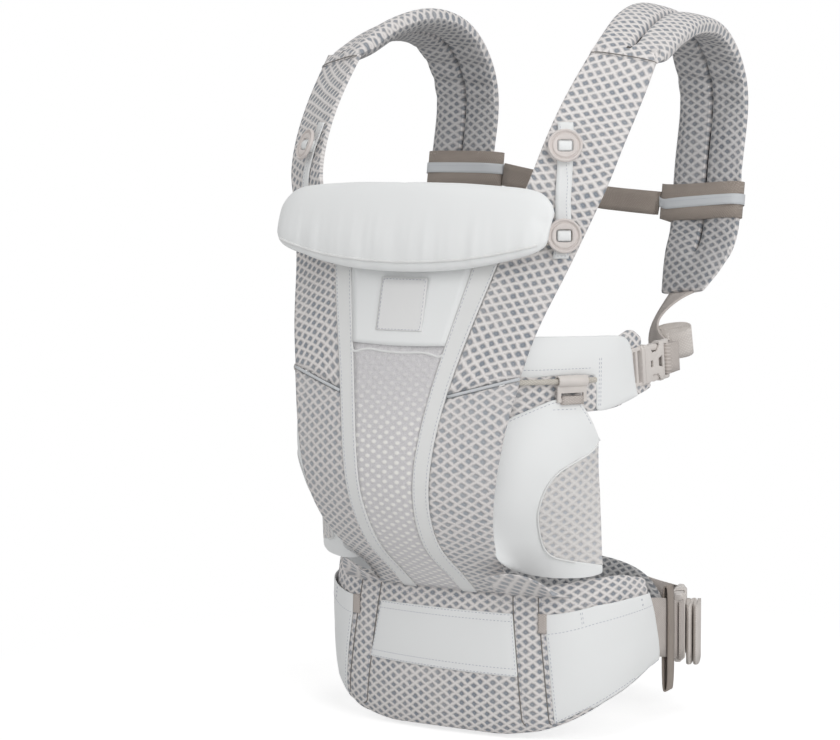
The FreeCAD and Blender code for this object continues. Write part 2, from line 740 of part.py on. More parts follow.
LEG_TOP_Z = CORD_Z + HOOK_BOTTOM - 2 * TAB_THICK - 0.6
LEG_FACING = unit(Vector(0.8, -0.6, 0))
LEG_ACROSS = unit(Vector(0.6, 0.8, 0))
LEG_CUT_START = 60.0           # the blocks that cut the leg panel start here along its facing
LEG_CUT_REACH = 200.0


def leg_block(outline):
    """A block that cuts the leg panel to an outline of (across, z) points."""
    points = [LEG_FACING * LEG_CUT_START + LEG_ACROSS * across + Vector(0, 0, z) for across, z in outline]
    return prism(points, LEG_FACING * LEG_CUT_REACH)


def leg_panels():
    """The side panel that closes the leg opening, with its mesh insert, which is shaped like a D."""
    grid = []
    for z, first, middle, last in LEG_ROWS:
        row = ArcPath([first, middle, last])
        grid.append([row.point(k / 4) + Vector(0, 0, z) for k in range(5)])
    shares = [HOOK_SHARE + step for step in (-0.3, -0.15, 0.0, 0.15, 0.3)]
    grid.append([WING.point(share, CORD_OFFSET) + Vector(0, 0, LEG_TOP_Z + 2) for share in shares])
    whole = sheet(grid, 0.0, SOFTSHELL)
    top = leg_block(LEG_SIDES + [(across, LEG_TOP_Z) for across in LEG_TOP_ACROSS] + [LEG_SHOULDER])
    save_pair("leg_panel", whole.common(top).cut(leg_block(LEG_INSERT)))
    edge = min(across for across, _ in LEG_INSERT)
    middle = (LEG_INSERT[0][1] + LEG_INSERT[-1][1]) / 2
    inset = []
    for across, z in LEG_INSERT:
        drawn = across + LEG_INSERT_GAP * (1.6 if across < -edge / 2 else 0)
        inset.append((drawn, z + math.copysign(LEG_INSERT_GAP, middle - z)))
    save("leg_mesh", both(whole.common(leg_block(inset))))


# ------------------------------------------------------------------ webbing
def ribbon(stations, width, thickness):
    """Webbing with flat facets through stations, each a centre point and the direction across it."""
    sections = []
    last = len(stations) - 1
    for i, (centre, across) in enumerate(stations):
        along = unit(stations[min(i + 1, last)][0] - stations[max(i - 1, 0)][0])
        thin = unit(across.cross(along)) * (thickness / 2)
        wide = across * (width / 2)
        left, right = centre - wide, centre + wide
        sections.append([left - thin, right - thin, right + thin, left + thin])
    return ring_loft(sections)


def flat_path(points, width, thickness):
    """Webbing on edge along (x, y) points joined by straight runs, its width along z."""
    return ribbon([(Vector(x, y, 0), Vector(0, 0, 1)) for x, y in points], width, thickness)


def coil_points(turns, straight, first_radius, pitch):
    """(x, y) points of an oval coil: half turns that grow by half a pitch, joined by straight runs."""
    points = []
    for k in range(2 * turns):
        radius = first_radius + k * pitch / 2
        side = 1 if k % 2 == 0 else -1
        for step in range(5):
            angle = math.radians(-90 + 45 * step)
            x = side * (straight / 2 + radius * math.cos(angle))
            y = side * radius * math.sin(angle) - (0 if side > 0 else pitch / 2)
            points.append((x, y))
    return points


def fold_points(layers, length, pitch):
    """(x, y) points of webbing folded to and fro in straight layers."""
    points = []
    for k in range(layers):
        ends = (0.0, length) if k % 2 == 0 else (length, 0.0)
        way = 1 if k % 2 == 0 else -1
        points += [(ends[0], k * pitch), (ends[1], k * pitch)]
        if k + 1 < layers:
            points.append((ends[1] + way * pitch * 0.5, (k + 0.5) * pitch))
    return points


# ------------------------------------------------------------------ side-release buckle
class Buckle:
    """A side-release buckle for webbing of a given width, in its own frame.

    x runs from the socket's bar to the plug's bar, y is its thickness and z its width. The mouth, where
    the plug's shoulder meets the socket, is at x = 0.
    """

    def __init__(self, web):
        self.web = web
        self.width = web + 8.0
        self.thick = 7.0 + web * 0.08
        self.wall = 1.8
        self.fit = 0.4
        self.depth = 20.0 + web * 0.16         # how far the plug goes in
        self.bar = 3.0
        self.slot = 3.4
        self.bar_end = self.bar + self.slot + 3.6
        self.socket_length = self.depth + 3.0 + self.bar_end
        self.end_thick = self.thick - 2 * (WEB_THICK + 2 * CLEAR)
        self.arm = 3.2
        self.corner = 2.0
        self.plug_length = 4.0 + 2 * self.slot + 2 * self.bar

    def block(self, x0, x1, width, thick, corner):
        """A flat block with slanted long edges."""
        y, z = thick / 2, width / 2
        outline = [
            (-y, corner - z), (corner - y, -z), (y - corner, -z), (y, corner - z),
            (y, z - corner), (y - corner, z), (corner - y, z), (-y, z - corner),
        ]
        return prism([Vector(x0, a, b) for a, b in outline], Vector(x1 - x0, 0, 0))

    def through(self, x0, x1, half_width):
        """A slot right through the thickness."""
        return Part.makeBox(x1 - x0, 60, 2 * half_width, Vector(x0, -30, -half_width))

    def socket(self):
        """Housing with its cavity, two side windows for the arms, a view slot, and the webbing bar."""
        inner_end = self.bar_end - self.socket_length
        body = self.block(inner_end, 0, self.width, self.thick, self.corner)
        body = body.fuse(self.block(-self.socket_length, inner_end, self.width, self.end_thick, 1.2))
        hollow = Part.makeBox(
            self.depth + 2, self.thick - 2 * self.wall, self.width - 2 * self.wall,
            Vector(-self.depth - 2, -self.thick / 2 + self.wall, -self.width / 2 + self.wall),
        )
        body = body.cut(hollow)
        reach = self.depth
        for side in (-1, 1):
            z = side * self.width / 2
            deep = side * (self.width / 2 - self.depth * 0.3)
            outline = [
                (-reach * 0.96, z + side), (-reach * 0.9, z - side * 2), (-reach * 0.74, deep),
                (-reach * 0.42, deep), (-reach * 0.26, z - side * 2), (-reach * 0.2, z + side),
            ]
            body = body.cut(prism([Vector(x, -30, w) for x, w in outline], Vector(0, 60, 0)))
        view = Part.makeBox(3.4, 20, self.web * 0.22, Vector(-self.depth * 0.45, 0, -self.web * 0.11))
        half = self.web * 0.2
        pointed = [
            (-reach - 0.5, -half), (-reach * 0.78, -half * 0.6),
            (-reach * 0.78, half * 0.6), (-reach - 0.5, half),
        ]
        d_slot = prism([Vector(x, 0, z) for x, z in pointed], Vector(0, 20, 0))
        body = body.cut(view).cut(d_slot)
        bar_start = self.bar - self.socket_length
        bar = self.through(bar_start, bar_start + self.slot, self.web / 2 + 0.6)
        return body.cut(bar).removeSplitter()

    def plug(self):
        """Shoulder, two webbing slots with the ladder bar between them, and the centre guide."""
        body = self.block(self.fit, 4.0, self.width, self.thick, self.corner)
        body = body.fuse(self.block(4.0, self.plug_length, self.width, self.end_thick, 1.2))
        for x0 in (4.0, 4.0 + self.slot + self.bar):
            body = body.cut(self.through(x0, x0 + self.slot, self.web / 2 + 0.6))
        inside = self.thick - 2 * self.wall - 2 * self.fit
        half = self.web * 0.1
        tip = Vector(4 + self.fit - self.depth, -inside / 2, -half)
        guide = Part.makeBox(self.depth - 4, inside, 2 * half, tip)
        return body.fuse(guide).removeSplitter()

    def arms(self):
        """The two flexing arms: a slim spring leg, and a barbed thumb pad that fills the side window."""
        inside = self.thick - 2 * self.wall - 2 * self.fit
        edge = self.width / 2 - self.wall - self.fit
        reach = self.depth - 1.0
        legs = []
        for side in (-1, 1):
            outline = [
                (0.0, edge - self.arm), (-reach * 0.55, edge - self.arm - 0.6),
                (-reach, edge - self.arm - 2.2), (-reach, edge - 1.4),
                (-reach * 0.82, edge + 0.9), (-reach * 0.62, edge + 1.5),
                (-reach * 0.44, edge + 0.7), (-reach * 0.34, edge), (0.0, edge),
            ]
            points = [Vector(x, -inside / 2, side * z) for x, z in outline]
            legs.append(prism(points, Vector(0, inside, 0)))
        return Part.makeCompound(legs)

    def loop_points(self, overlap):
        """(x, y) points of webbing that goes round a bar, x measured outward from the bar's outer face.

        The run arrives along y = 0 and returns on the other side for the overlap.
        """
        lift = self.end_thick / 2 + WEB_THICK / 2 + CLEAR
        turn = -self.bar - self.slot / 2
        back = -WEB_THICK - CLEAR
        return [
            (9.0, 0.0), (1.0, lift), (-self.bar, lift), (turn, lift - 0.8),
            (turn, 0.8 - lift), (-self.bar, -lift), (1.0, -lift), (9.0, back), (overlap, back),
        ]


def shoulder_buckle_place():
    """The shoulder buckle points from the wing's end towards the strap, rising a little."""
    tip = WING.point(1.0, -CLEAR - WING_PAD_THICK / 2)
    rise = math.radians(BUCKLE_RISE)
    backward = unit(WING.along(1.0) * math.cos(rise) + Vector(0, 0, math.sin(rise)))
    return tip + Vector(0, 0, BUCKLE_Z), backward, WING.normal(1.0)


def loop_stations(points, origin, outward, side, across):
    """Webbing stations from (x, y) points: x along the outward direction, y along the side direction."""
    return [(origin + outward * x + side * y, across) for x, y in points]


def shoulder_buckles():
    """Plug on the wing, socket on the strap's webbing, the webbing and its rolled tail."""
    buckle = Buckle(SHOULDER_WEB)
    tip, backward, out = shoulder_buckle_place()
    start = tip + backward * buckle.plug_length
    place = frame(start, backward * -1, out)
    save_pair("buckle_plug", placed(buckle.plug(), place))
    save_pair("buckle_arms", placed(buckle.arms(), place))
    save_pair("buckle_socket", placed(buckle.socket(), place))

    bar_face = start + backward * buckle.socket_length
    upward = unit(Vector(0, 0, 1) - backward * backward.z)
    loop = loop_stations(buckle.loop_points(14.0), bar_face, backward, out * -1, upward)
    end_centre, end_across, _, _ = strap_path()[-1]
    run = unit(end_centre - strap_path()[-2][0])
    stations = [(end_centre + run * 0.8, end_across)]
    stations += [(Vector(*centre), unit(Vector(*across))) for centre, across in SHOULDER_WEB_RUN]
    save_pair("shoulder_webbing", ribbon(stations + loop, SHOULDER_WEB, WEB_THICK))

    turns = coil_points(ROLL_TURNS, ROLL_STRAIGHT, ROLL_CORE, WEB_THICK + ROLL_AIR)
    coil = flat_path(turns, SHOULDER_WEB, WEB_THICK)
    roll_place = frame(Vector(*ROLL_CENTRE), Vector(0.848, 0.53, 0.12), Vector(-0.5, 0.8, 0.4))
    save_pair("webbing_roll", placed(coil, roll_place))


# ------------------------------------------------------------------ button strips and head support
def front_face_point(solid, x, z):
    """The foremost point of a solid on a line that runs from front to rear."""
    hit = Part.makeLine(Vector(x, -400, z), Vector(x, 100, z)).common(solid)
    return Vector(x, min(v.Y for v in hit.Vertexes), z)


STRIP_ACROSS = unit(Vector(*STRAP_TURNED))
STRIP_OUT = STRIP_ACROSS.cross(Vector(0, 0, 1))


def button_place(middles, k):
    """The placement of a button whose neck stands on the strip: x up the strip and y outward."""
    return frame(middles[k] + STRIP_OUT * CLEAR, middles[k + 1] - middles[k - 1], STRIP_OUT)


def strip_middles():
    """Points on the outer face of the button strip."""
    panel = side_panel()
    middles = []
    for x, z in STRIP_RUN:
        reach = STRIP_ACROSS * (STRIP_WIDTH / 2)
        edges = [front_face_point(panel, x + side * reach.x, z) for side in (-1, 0, 1)]
        foremost = max((e - Vector(x, 0, z)).dot(STRIP_OUT) for e in edges)
        base = Vector(x, edges[1].y, z)
        lift = foremost - (base - Vector(x, 0, z)).dot(STRIP_OUT)
        middles.append(base + STRIP_OUT * (lift + 2 * CLEAR + TAPE))
    return middles


def button_strips():
    """A sewn tape with two buttons on each strap. The neck of each button stands on the tape."""
    middles = strip_middles()
    sections = []
    for middle in middles:
        reach = STRIP_ACROSS * (STRIP_WIDTH / 2)
        back = STRIP_OUT * -TAPE
        sections.append([middle - reach + back, middle + reach + back, middle + reach, middle - reach])
    save("button_strips", both(ring_loft(sections)))

    disc = []
    for k in range(BUTTON_SIDES):
        angle = 2 * math.pi * (k + 0.5) / BUTTON_SIDES
        disc.append(Vector(BUTTON_RADIUS * math.cos(angle), BUTTON_NECK, BUTTON_RADIUS * math.sin(angle)))
    button = prism(disc, Vector(0, BUTTON_THICK, 0))
    neck = 2 * BUTTON_NECK_HALF
    button = button.fuse(Part.makeBox(neck, BUTTON_NECK, neck, Vector(-neck / 2, 0, -neck / 2)))
    high, wide = BUTTON_HOLE
    opening = Vector(-high / 2, BUTTON_NECK + BUTTON_FLOOR, -wide / 2)
    button = button.cut(Part.makeBox(high, BUTTON_THICK - BUTTON_FLOOR, wide, opening))
    buttons = []
    for k in BUTTON_STATIONS:
        shape = placed(button.removeSplitter(), button_place(middles, k))
        buttons += [shape, mirrored(shape)]
    save("strap_buttons", Part.makeCompound(buttons))


def pillow_sections(inset, ends):
    """Sections of the head support from its left to its right end, drawn in by an inset."""
    stations = [(-x, low, high, thick) for x, low, high, thick in reversed(PILLOW[1:])] + PILLOW
    sections = []
    for x, low, high, thick in stations[ends:len(stations) - ends]:
        half, deep = (high - low) / 2 - inset, thick / 2 - inset
        profile = [
            (0.0, -1.0), (-0.72, -0.74), (-1.0, -0.1), (-0.76, 0.66),
            (0.0, 1.0), (0.76, 0.66), (1.0, -0.1), (0.72, -0.74),
        ]
        y = PILLOW_Y + PILLOW_WRAP * (x / PILLOW[-1][0]) ** 2
        section = []
        for u, v in profile:
            z = (high + low) / 2 + half * v
            section.append(Vector(x, y + deep * u + PILLOW_LEAN * (z - PILLOW_MIDDLE_Z), z))
        sections.append(section)
    return sections


def head_support():
    """Padded pillow over the panel's top edge, its filling, and the cord loops to the lower buttons."""
    cover = ring_loft(pillow_sections(0.0, 0))
    pocket = ring_loft(pillow_sections(PILLOW_SHELL, 1))
    save("head_support", cover.cut(pocket))
    save("head_support_foam", ring_loft(pillow_sections(PILLOW_SHELL + CLEAR, 1)))

    stand = button_place(strip_middles(), BUTTON_STATIONS[0])
    turn = BUTTON_NECK_HALF + LOOP_CORD_RADIUS + CLEAR
    wrap = PILLOW_WRAP * (LOOP_ANCHOR_X / PILLOW[-1][0]) ** 2
    anchor_y = PILLOW_Y + wrap + PILLOW[3][3] / 2 + LOOP_CORD_RADIUS
    away = -BUTTON_RADIUS - 2
    path = []
    for up, outward in ((1, away), (1, -turn), (1, turn), (-1, turn), (-1, -turn), (-1, away)):
        path.append(stand.multVec(Vector(up * turn, BUTTON_NECK / 2, outward)))
    for place in (0, len(path)):
        z = path[0].z + 1.5 if place == 0 else path[-1].z - 1.5
        path.insert(place, Vector(LOOP_ANCHOR_X, anchor_y + PILLOW_LEAN * (z - PILLOW_MIDDLE_Z) + CLEAR, z))
    save("head_support_loops", both(tube(path, LOOP_CORD_RADIUS, 6)))


# ------------------------------------------------------------------ leg hooks
def leg_hooks():
    """A moulded hook that hangs on the wing's cord, and the webbing tab that ties the leg panel to it."""
    def ring(radius):
        angles = [k * math.pi / 6 for k in range(12)]
        return [Vector(-HOOK_WIDTH / 2, radius * math.cos(a), radius * math.sin(a)) for a in angles]

    reach = Vector(HOOK_WIDTH, 0, 0)
    hook = prism(ring(HOOK_BORE + HOOK_WALL), reach)
    plate_top = -HOOK_BORE - HOOK_WALL / 2
    plate_corner = Vector(-HOOK_WIDTH / 2, -HOOK_PLATE / 2, HOOK_BOTTOM)
    plate = Part.makeBox(HOOK_WIDTH, HOOK_PLATE, plate_top - HOOK_BOTTOM, plate_corner)
    hook = hook.fuse(plate).cut(prism(ring(HOOK_BORE), reach))
    slot_half = TAB_WIDTH / 2 + RUN_CLEAR
    low, high = HOOK_SLOT
    hook = hook.cut(Part.makeBox(2 * slot_half, 20, high - low, Vector(-slot_half, -10, low)))

    bar = HOOK_PLATE / 2 + CLEAR
    bottom, top = HOOK_BOTTOM - CLEAR, low + CLEAR
    inner = [(-bar, bottom), (bar, bottom), (bar, top), (-bar, top)]
    outer = []
    for y, z in inner:
        outer.append((y + math.copysign(TAB_THICK, y), z + (TAB_THICK if z > HOOK_BOTTOM else -TAB_THICK)))
    tab = prism([Vector(-TAB_WIDTH / 2, y, z) for y, z in outer], Vector(TAB_WIDTH, 0, 0))
    tab = tab.cut(prism([Vector(-TAB_WIDTH / 2, y, z) for y, z in inner], Vector(TAB_WIDTH, 0, 0)))

    centre = WING.point(HOOK_SHARE, CORD_OFFSET) + Vector(0, 0, CORD_Z)
    place = frame(centre, WING.along(HOOK_SHARE) * -1, WING.normal(HOOK_SHARE))
    save_pair("leg_hook", placed(hook.removeSplitter(), place))
    save_pair("leg_tab", placed(tab, place))


# ------------------------------------------------------------------ chest strap
def strap_run_point(z):
    """The middle of the straight rear run of the right strap at a height."""
    (y0, z0), (y1, z1) = STRAP_RUN_LOW, STRAP_RUN_HIGH
    return Vector(STRAP_X, y0 + (y1 - y0) * (z - z0) / (z1 - z0), z)


def chest_band(z):
    """An elastic band round the right strap, with a folded ear on its inner side."""
    run = unit(strap_run_point(z + 10) - strap_run_point(z))
    out = unit(Vector(1, 0, 0).cross(run))

    def ring(grow, ear):
        half, deep = STRAP_WIDTH / 2 + grow, STRAP_PADDED / 2 + grow
        slant = deep * 0.55
        outline = [
            (-half - ear, -slant / 2), (slant - half, -deep), (half - slant, -deep), (half, -slant / 2),
            (half, slant / 2), (half - slant, deep), (slant - half, deep), (-half - ear, slant / 2),
        ]
        base = strap_run_point(z) - run * (CHEST_BAND_HEIGHT / 2)
        return [base + Vector(u, 0, 0) + out * v for u, v in outline]

    reach = run * CHEST_BAND_HEIGHT
    shell = prism(ring(RUN_CLEAR + CHEST_BAND_THICK, CHEST_EAR), reach)
    return shell.cut(prism(ring(RUN_CLEAR, 0.0), reach))


def chest_strap():
    """Bands on both straps, webbing, and the small buckle between them."""
    save("chest_bands", Part.makeCompound([chest_band(CHEST_RIGHT_Z), mirrored(chest_band(CHEST_LEFT_Z))]))

    buckle = Buckle(CHEST_WEB)
    reach = STRAP_X - STRAP_WIDTH / 2 - RUN_CLEAR - CHEST_BAND_THICK - CHEST_EAR - CLEAR
    reach -= CHEST_WEB / 2 * (CHEST_WEB_LEFT_Z - CHEST_WEB_RIGHT_Z) / (2 * reach)
    left = Vector(-reach, strap_run_point(CHEST_WEB_LEFT_Z).y, CHEST_WEB_LEFT_Z)
    right = Vector(reach, strap_run_point(CHEST_WEB_RIGHT_Z).y, CHEST_WEB_RIGHT_Z)
    along = unit(right - left)
    mouth = left + along * ((CHEST_MOUTH_X - left.x) / along.x)
    place = frame(mouth, along, Vector(0, 1, 0))
    save("chest_buckle_socket", placed(buckle.socket(), place))
    save("chest_buckle_plug", placed(buckle.plug(), place))
    save("chest_buckle_arms", placed(buckle.arms(), place))

    side = place.Rotation.multVec(Vector(0, 1, 0))
    across = place.Rotation.multVec(Vector(0, 0, 1))
    ends = (
        ("chest_webbing_left", left, mouth - along * buckle.socket_length, along * -1),
        ("chest_webbing_right", right, mouth + along * buckle.plug_length, along),
    )
    for node, far, face, outward in ends:
        loop = loop_stations(buckle.loop_points((far - face).Length - 2.0), face, outward, side, across)
        save(node, ribbon([(far, across)] + loop, CHEST_WEB, WEB_THICK))


# ------------------------------------------------------------------ waist webbing, buckle, lumbar pad
BUCKLE_HEADING = 116.0         # the direction the buckle lies in
BUCKLE_MIDDLE_HEADING = 122.0  # where its middle sits on the ring
BUCKLE_OFFSET = 9.0


def ring_stations(headings_and_heights):
    """Webbing stations round the waist ring, each from a heading and the height of the webbing's middle."""
    middle = WEB_OFFSET + WEB_THICK / 2
    return [(RING.point(h, middle) + Vector(0, 0, z), Vector(0, 0, 1)) for h, z in headings_and_heights]


def waist_buckle_place():
    """The middle of the buckle's mouth, its direction and its outward direction."""
    buckle = Buckle(WAIST_WEB)
    along, out = RING.tangent(BUCKLE_HEADING), RING.normal(BUCKLE_HEADING)
    middle = RING.point(BUCKLE_MIDDLE_HEADING, BUCKLE_OFFSET) + Vector(0, 0, WAIST_BUCKLE_Z)
    return middle + along * ((buckle.socket_length - buckle.plug_length) / 2), along, out


def waist_fastening():
    """Webbing on both sides, and the buckle with the folded tail of the webbing."""
    buckle = Buckle(WAIST_WEB)
    mouth, along, out = waist_buckle_place()
    place = frame(mouth, along, out)
    save("waist_buckle_socket", placed(buckle.socket(), place))
    save("waist_buckle_plug", placed(buckle.plug(), place))
    save("waist_buckle_arms", placed(buckle.arms(), place))

    pad_block = belt_profile(-1.0)
    upright = Vector(0, 0, 1)
    socket_face = mouth - along * buckle.socket_length
    loop = loop_stations(buckle.loop_points(12.0), socket_face, along * -1, out * -1, upright)
    drop = (WAIST_WEB_Z - WAIST_BUCKLE_Z) / 3
    short = [(heading, WAIST_WEB_Z) for heading in (74, 80, 86, 90)]
    short += [(95, WAIST_WEB_Z - drop), (100, WAIST_WEB_Z - 2 * drop)]
    save("waist_webbing_right", ribbon(ring_stations(short) + loop, WAIST_WEB, WEB_THICK).cut(pad_block))

    plug_face = mouth + along * buckle.plug_length
    loop = loop_stations(buckle.loop_points(12.0), plug_face, along, out * -1, upright)
    left_side = [(-74 - 8 * k, WAIST_WEB_Z) for k in range(9)] + [(-146 - 8 * k, LUMBAR_Z) for k in range(4)]
    rear = [(heading, LUMBAR_Z) for heading in (-178, 174, 166)]
    rear.append((160, (LUMBAR_Z + WAIST_BUCKLE_Z) / 2))
    run = ring_stations(left_side + rear)
    save("waist_webbing_left", ribbon(run + loop, WAIST_WEB, WEB_THICK).cut(pad_block))

    tail_start = mouth + along * 4.0 + out * (buckle.thick / 2 + WEB_THICK) - upright * WAIST_TAIL_DROP
    tail = flat_path(fold_points(4, 34.0, WEB_THICK + 1.2), WAIST_WEB, WEB_THICK)
    save("waist_webbing_tail", placed(tail, frame(tail_start, along * -1, out)))


def safety_loop():
    """An elastic loop that hangs round the right waist webbing ahead of the socket."""
    along, out = RING.tangent(SAFETY_HEADING - 2), RING.normal(SAFETY_HEADING - 2)
    centre = RING.point(SAFETY_HEADING - 2, WEB_OFFSET + WEB_THICK / 2) - along * (SAFETY_LOOP_WIDTH / 2)
    high = WAIST_WEB_Z + WAIST_WEB / 2 + SAFETY_LOOP_RISE
    low = WAIST_WEB_Z - WAIST_WEB / 2 - SAFETY_LOOP_DROP

    def ring(grow):
        half = WEB_THICK / 2 + 2 * RUN_CLEAR + grow
        bevel = half * 0.7
        bottom, top = low - grow, high + grow
        outline = [
            (-half, bottom + bevel), (bevel - half, bottom), (half - bevel, bottom), (half, bottom + bevel),
            (half, top - bevel), (half - bevel, top), (bevel - half, top), (-half, top - bevel),
        ]
        return [centre + out * u + Vector(0, 0, v) for u, v in outline]

    width = along * SAFETY_LOOP_WIDTH
    save("safety_loop", prism(ring(SAFETY_LOOP_THICK), width).cut(prism(ring(0.0), width)))


def lens_block(inset):
    """A block cut to the lumbar pad's rear view, drawn in by an inset."""
    half = RING.point(180 - LUMBAR_HALF_SWEEP).x + 4 - inset
    tall, short = LUMBAR_HALF_HEIGHT - inset, LUMBAR_END_HALF_HEIGHT - inset
    side = [(half, short * LUMBAR_TIP), (half * 0.98, short)]
    side += [(half * along, short + (tall - short) * rise) for along, rise in LUMBAR_RISE]
    upper = side + [(0.0, tall)] + [(-x, z) for x, z in reversed(side)]
    lower = [(x, -z) for x, z in reversed(upper)]
    return prism([Vector(x, -50, LUMBAR_Z + z) for x, z in upper + lower], Vector(0, 300, 0))


def lumbar_band(inner, outer, sweep, low, high):
    """Upright band behind the wearer with flat facets, between two offsets and two heights."""
    turns = [turn for turn in LUMBAR_TURNS if turn < sweep] + [sweep]
    headings = [180 - turn for turn in reversed(turns)] + [turn - 180 for turn in turns if turn > 0]
    sections = []
    for heading in headings:
        a, b = RING.point(heading, inner), RING.point(heading, outer)
        bottom, top = Vector(0, 0, low), Vector(0, 0, high)
        sections.append([a + bottom, b + bottom, b + top, a + top])
    return ring_loft(sections)


def lumbar_pad():
    """The pad at the small of the back, its filling, and the sleeve in which the webbing slides."""
    back = WEB_OFFSET - LUMBAR_GAP
    cover = lumbar_band(LUMBAR_INNER, back, LUMBAR_HALF_SWEEP, 0.0, 200.0).common(lens_block(0.0))
    filling = (LUMBAR_INNER + LUMBAR_SKIN, back - LUMBAR_SKIN)
    pocket = lumbar_band(*filling, LUMBAR_HALF_SWEEP - 1.0, 0.0, 200.0).common(lens_block(3.0))
    foam = lumbar_band(filling[0] + CLEAR, filling[1] - CLEAR, LUMBAR_HALF_SWEEP - 1.3, 0.0, 200.0)
    save("lumbar_foam", foam.common(lens_block(3.0 + CLEAR)))

    half = WAIST_WEB / 2 + 2 * RUN_CLEAR
    outer = WEB_OFFSET + WEB_THICK + LUMBAR_GAP
    tall = half + LUMBAR_SKIN
    skin = outer + LUMBAR_SKIN
    sleeve = lumbar_band(back, skin, SLEEVE_HALF_SWEEP, LUMBAR_Z - tall, LUMBAR_Z + tall)
    tunnel = lumbar_band(back, outer, SLEEVE_HALF_SWEEP + 2, LUMBAR_Z - half, LUMBAR_Z + half)
    save("lumbar_pad", cover.cut(pocket).fuse(sleeve.cut(tunnel)))


def build():
    """Every sub-part, in order from the waist up."""
    waistband()
    front_panel()
    shoulder_straps()
    wings()
    leg_panels()
    leg_hooks()
    shoulder_buckles()
    button_strips()
    head_support()
    chest_strap()
    waist_fastening()
    safety_loop()
    lumbar_pad()


build()
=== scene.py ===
"""Dressed model of a soft baby carrier: sewn, padded, webbed and buckled round its measured frame.

Lengths in the classes are millimetres. +Z is up, -Y is out through the front panel, +X is the right side.
"""
import logging
import math
from dataclasses import dataclass, field
from enum import Enum
from typing import Callable, Iterable, Sequence

import bmesh
import bpy
import numpy as np
from mathutils import Matrix, Vector, noise
from mathutils.bvhtree import BVHTree


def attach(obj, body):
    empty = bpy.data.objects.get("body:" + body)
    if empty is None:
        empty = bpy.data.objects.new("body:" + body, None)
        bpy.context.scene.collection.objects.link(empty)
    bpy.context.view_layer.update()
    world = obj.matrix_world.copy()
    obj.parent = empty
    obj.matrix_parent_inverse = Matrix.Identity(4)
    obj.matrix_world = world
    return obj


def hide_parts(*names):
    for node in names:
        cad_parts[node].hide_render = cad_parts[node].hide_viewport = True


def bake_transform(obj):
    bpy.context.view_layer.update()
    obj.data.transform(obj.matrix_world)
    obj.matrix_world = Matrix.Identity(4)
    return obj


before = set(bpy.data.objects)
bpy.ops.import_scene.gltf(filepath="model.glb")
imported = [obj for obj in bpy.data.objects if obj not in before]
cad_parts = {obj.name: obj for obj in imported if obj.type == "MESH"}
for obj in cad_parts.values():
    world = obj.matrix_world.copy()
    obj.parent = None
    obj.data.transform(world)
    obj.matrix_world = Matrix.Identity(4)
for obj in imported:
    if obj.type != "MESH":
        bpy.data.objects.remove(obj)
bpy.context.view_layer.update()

MM = 0.001
CLOTH_UV = "cloth"
MESH_ACROSS = 11.5             # repeat of the mesh lattice across the cloth
MESH_ALONG = 8.0               # and along it
UP = Vector((0, 0, 1))
LOG = logging.getLogger("carrier")
Place = Callable[[float, float], Vector]
Piece = bpy.types.Object
Mesh = bmesh.types.BMesh
Tree = bpy.types.NodeTree
Node = bpy.types.Node
Colour = tuple[float, float, float, float]


class Side(Enum):
    """The two halves of the carrier."""

    RIGHT = 1
    LEFT = -1

    @property
    def word(self) -> str:
        """The side's name in the names of its pieces."""
        return self.name.lower()

    def turn(self, point: Sequence[float]) -> Vector:
        """A right-hand point taken to this side."""
        return Vector((point[0] * self.value, point[1], point[2]))

    def once(self, node: str) -> tuple[str, ...]:
        """The node that holds both sides' solids, which the right-hand piece stands for."""
        return (node,) if self is Side.RIGHT else ()


# ---- finishes
COLOURS = {"data_type": "RGBA"}
SMOOTH_STEP = {"interpolation_type": "SMOOTHSTEP"}
MULTIPLY = {"operation": "MULTIPLY"}
MULTIPLY_ADD = {"operation": "MULTIPLY_ADD"}
WHITE = (1, 1, 1, 1)


def linear(hex_colour: str, factor: float = 1.0) -> Colour:
    """An sRGB hex colour as linear RGBA.

    Args:
        hex_colour: The colour.
        factor: How much lighter or darker it is made first.

    Returns:
        The linear colour.
    """
    channels = [min(255, round(int(hex_colour[i:i + 2], 16) * factor)) / 255 for i in (1, 3, 5)]
    straight = [c / 12.92 if c <= 0.04045 else ((c + 0.055) / 1.055) ** 2.4 for c in channels]
    return (straight[0], straight[1], straight[2], 1.0)


def add_node(tree: Tree, kind: str, settings: dict | None = None, links: dict | None = None) -> Node:
    """Adds a shader node.

    Args:
        tree: The material's node tree.
        kind: The node's type, without the words that all shader nodes start with.
        settings: Properties of the node.
        links: Input sockets by name or number, each with a value, or with the socket that feeds it or the
            node whose first socket does.

    Returns:
        The new node.
    """
    node = tree.nodes.new(f"ShaderNode{kind}")
    for key, value in (settings or {}).items():
        setattr(node, key, value)
    for key, value in (links or {}).items():
        if isinstance(value, Node):
            value = value.outputs[0]
        if isinstance(value, bpy.types.NodeSocket):
            tree.links.new(value, node.inputs[key])
        else:
            node.inputs[key].default_value = value
    return node


def cleared(owner: bpy.types.Material | bpy.types.World) -> Tree:
    """The node tree of a material or a world, empty."""
    owner.use_nodes = True
    owner.node_tree.nodes.clear()
    return owner.node_tree


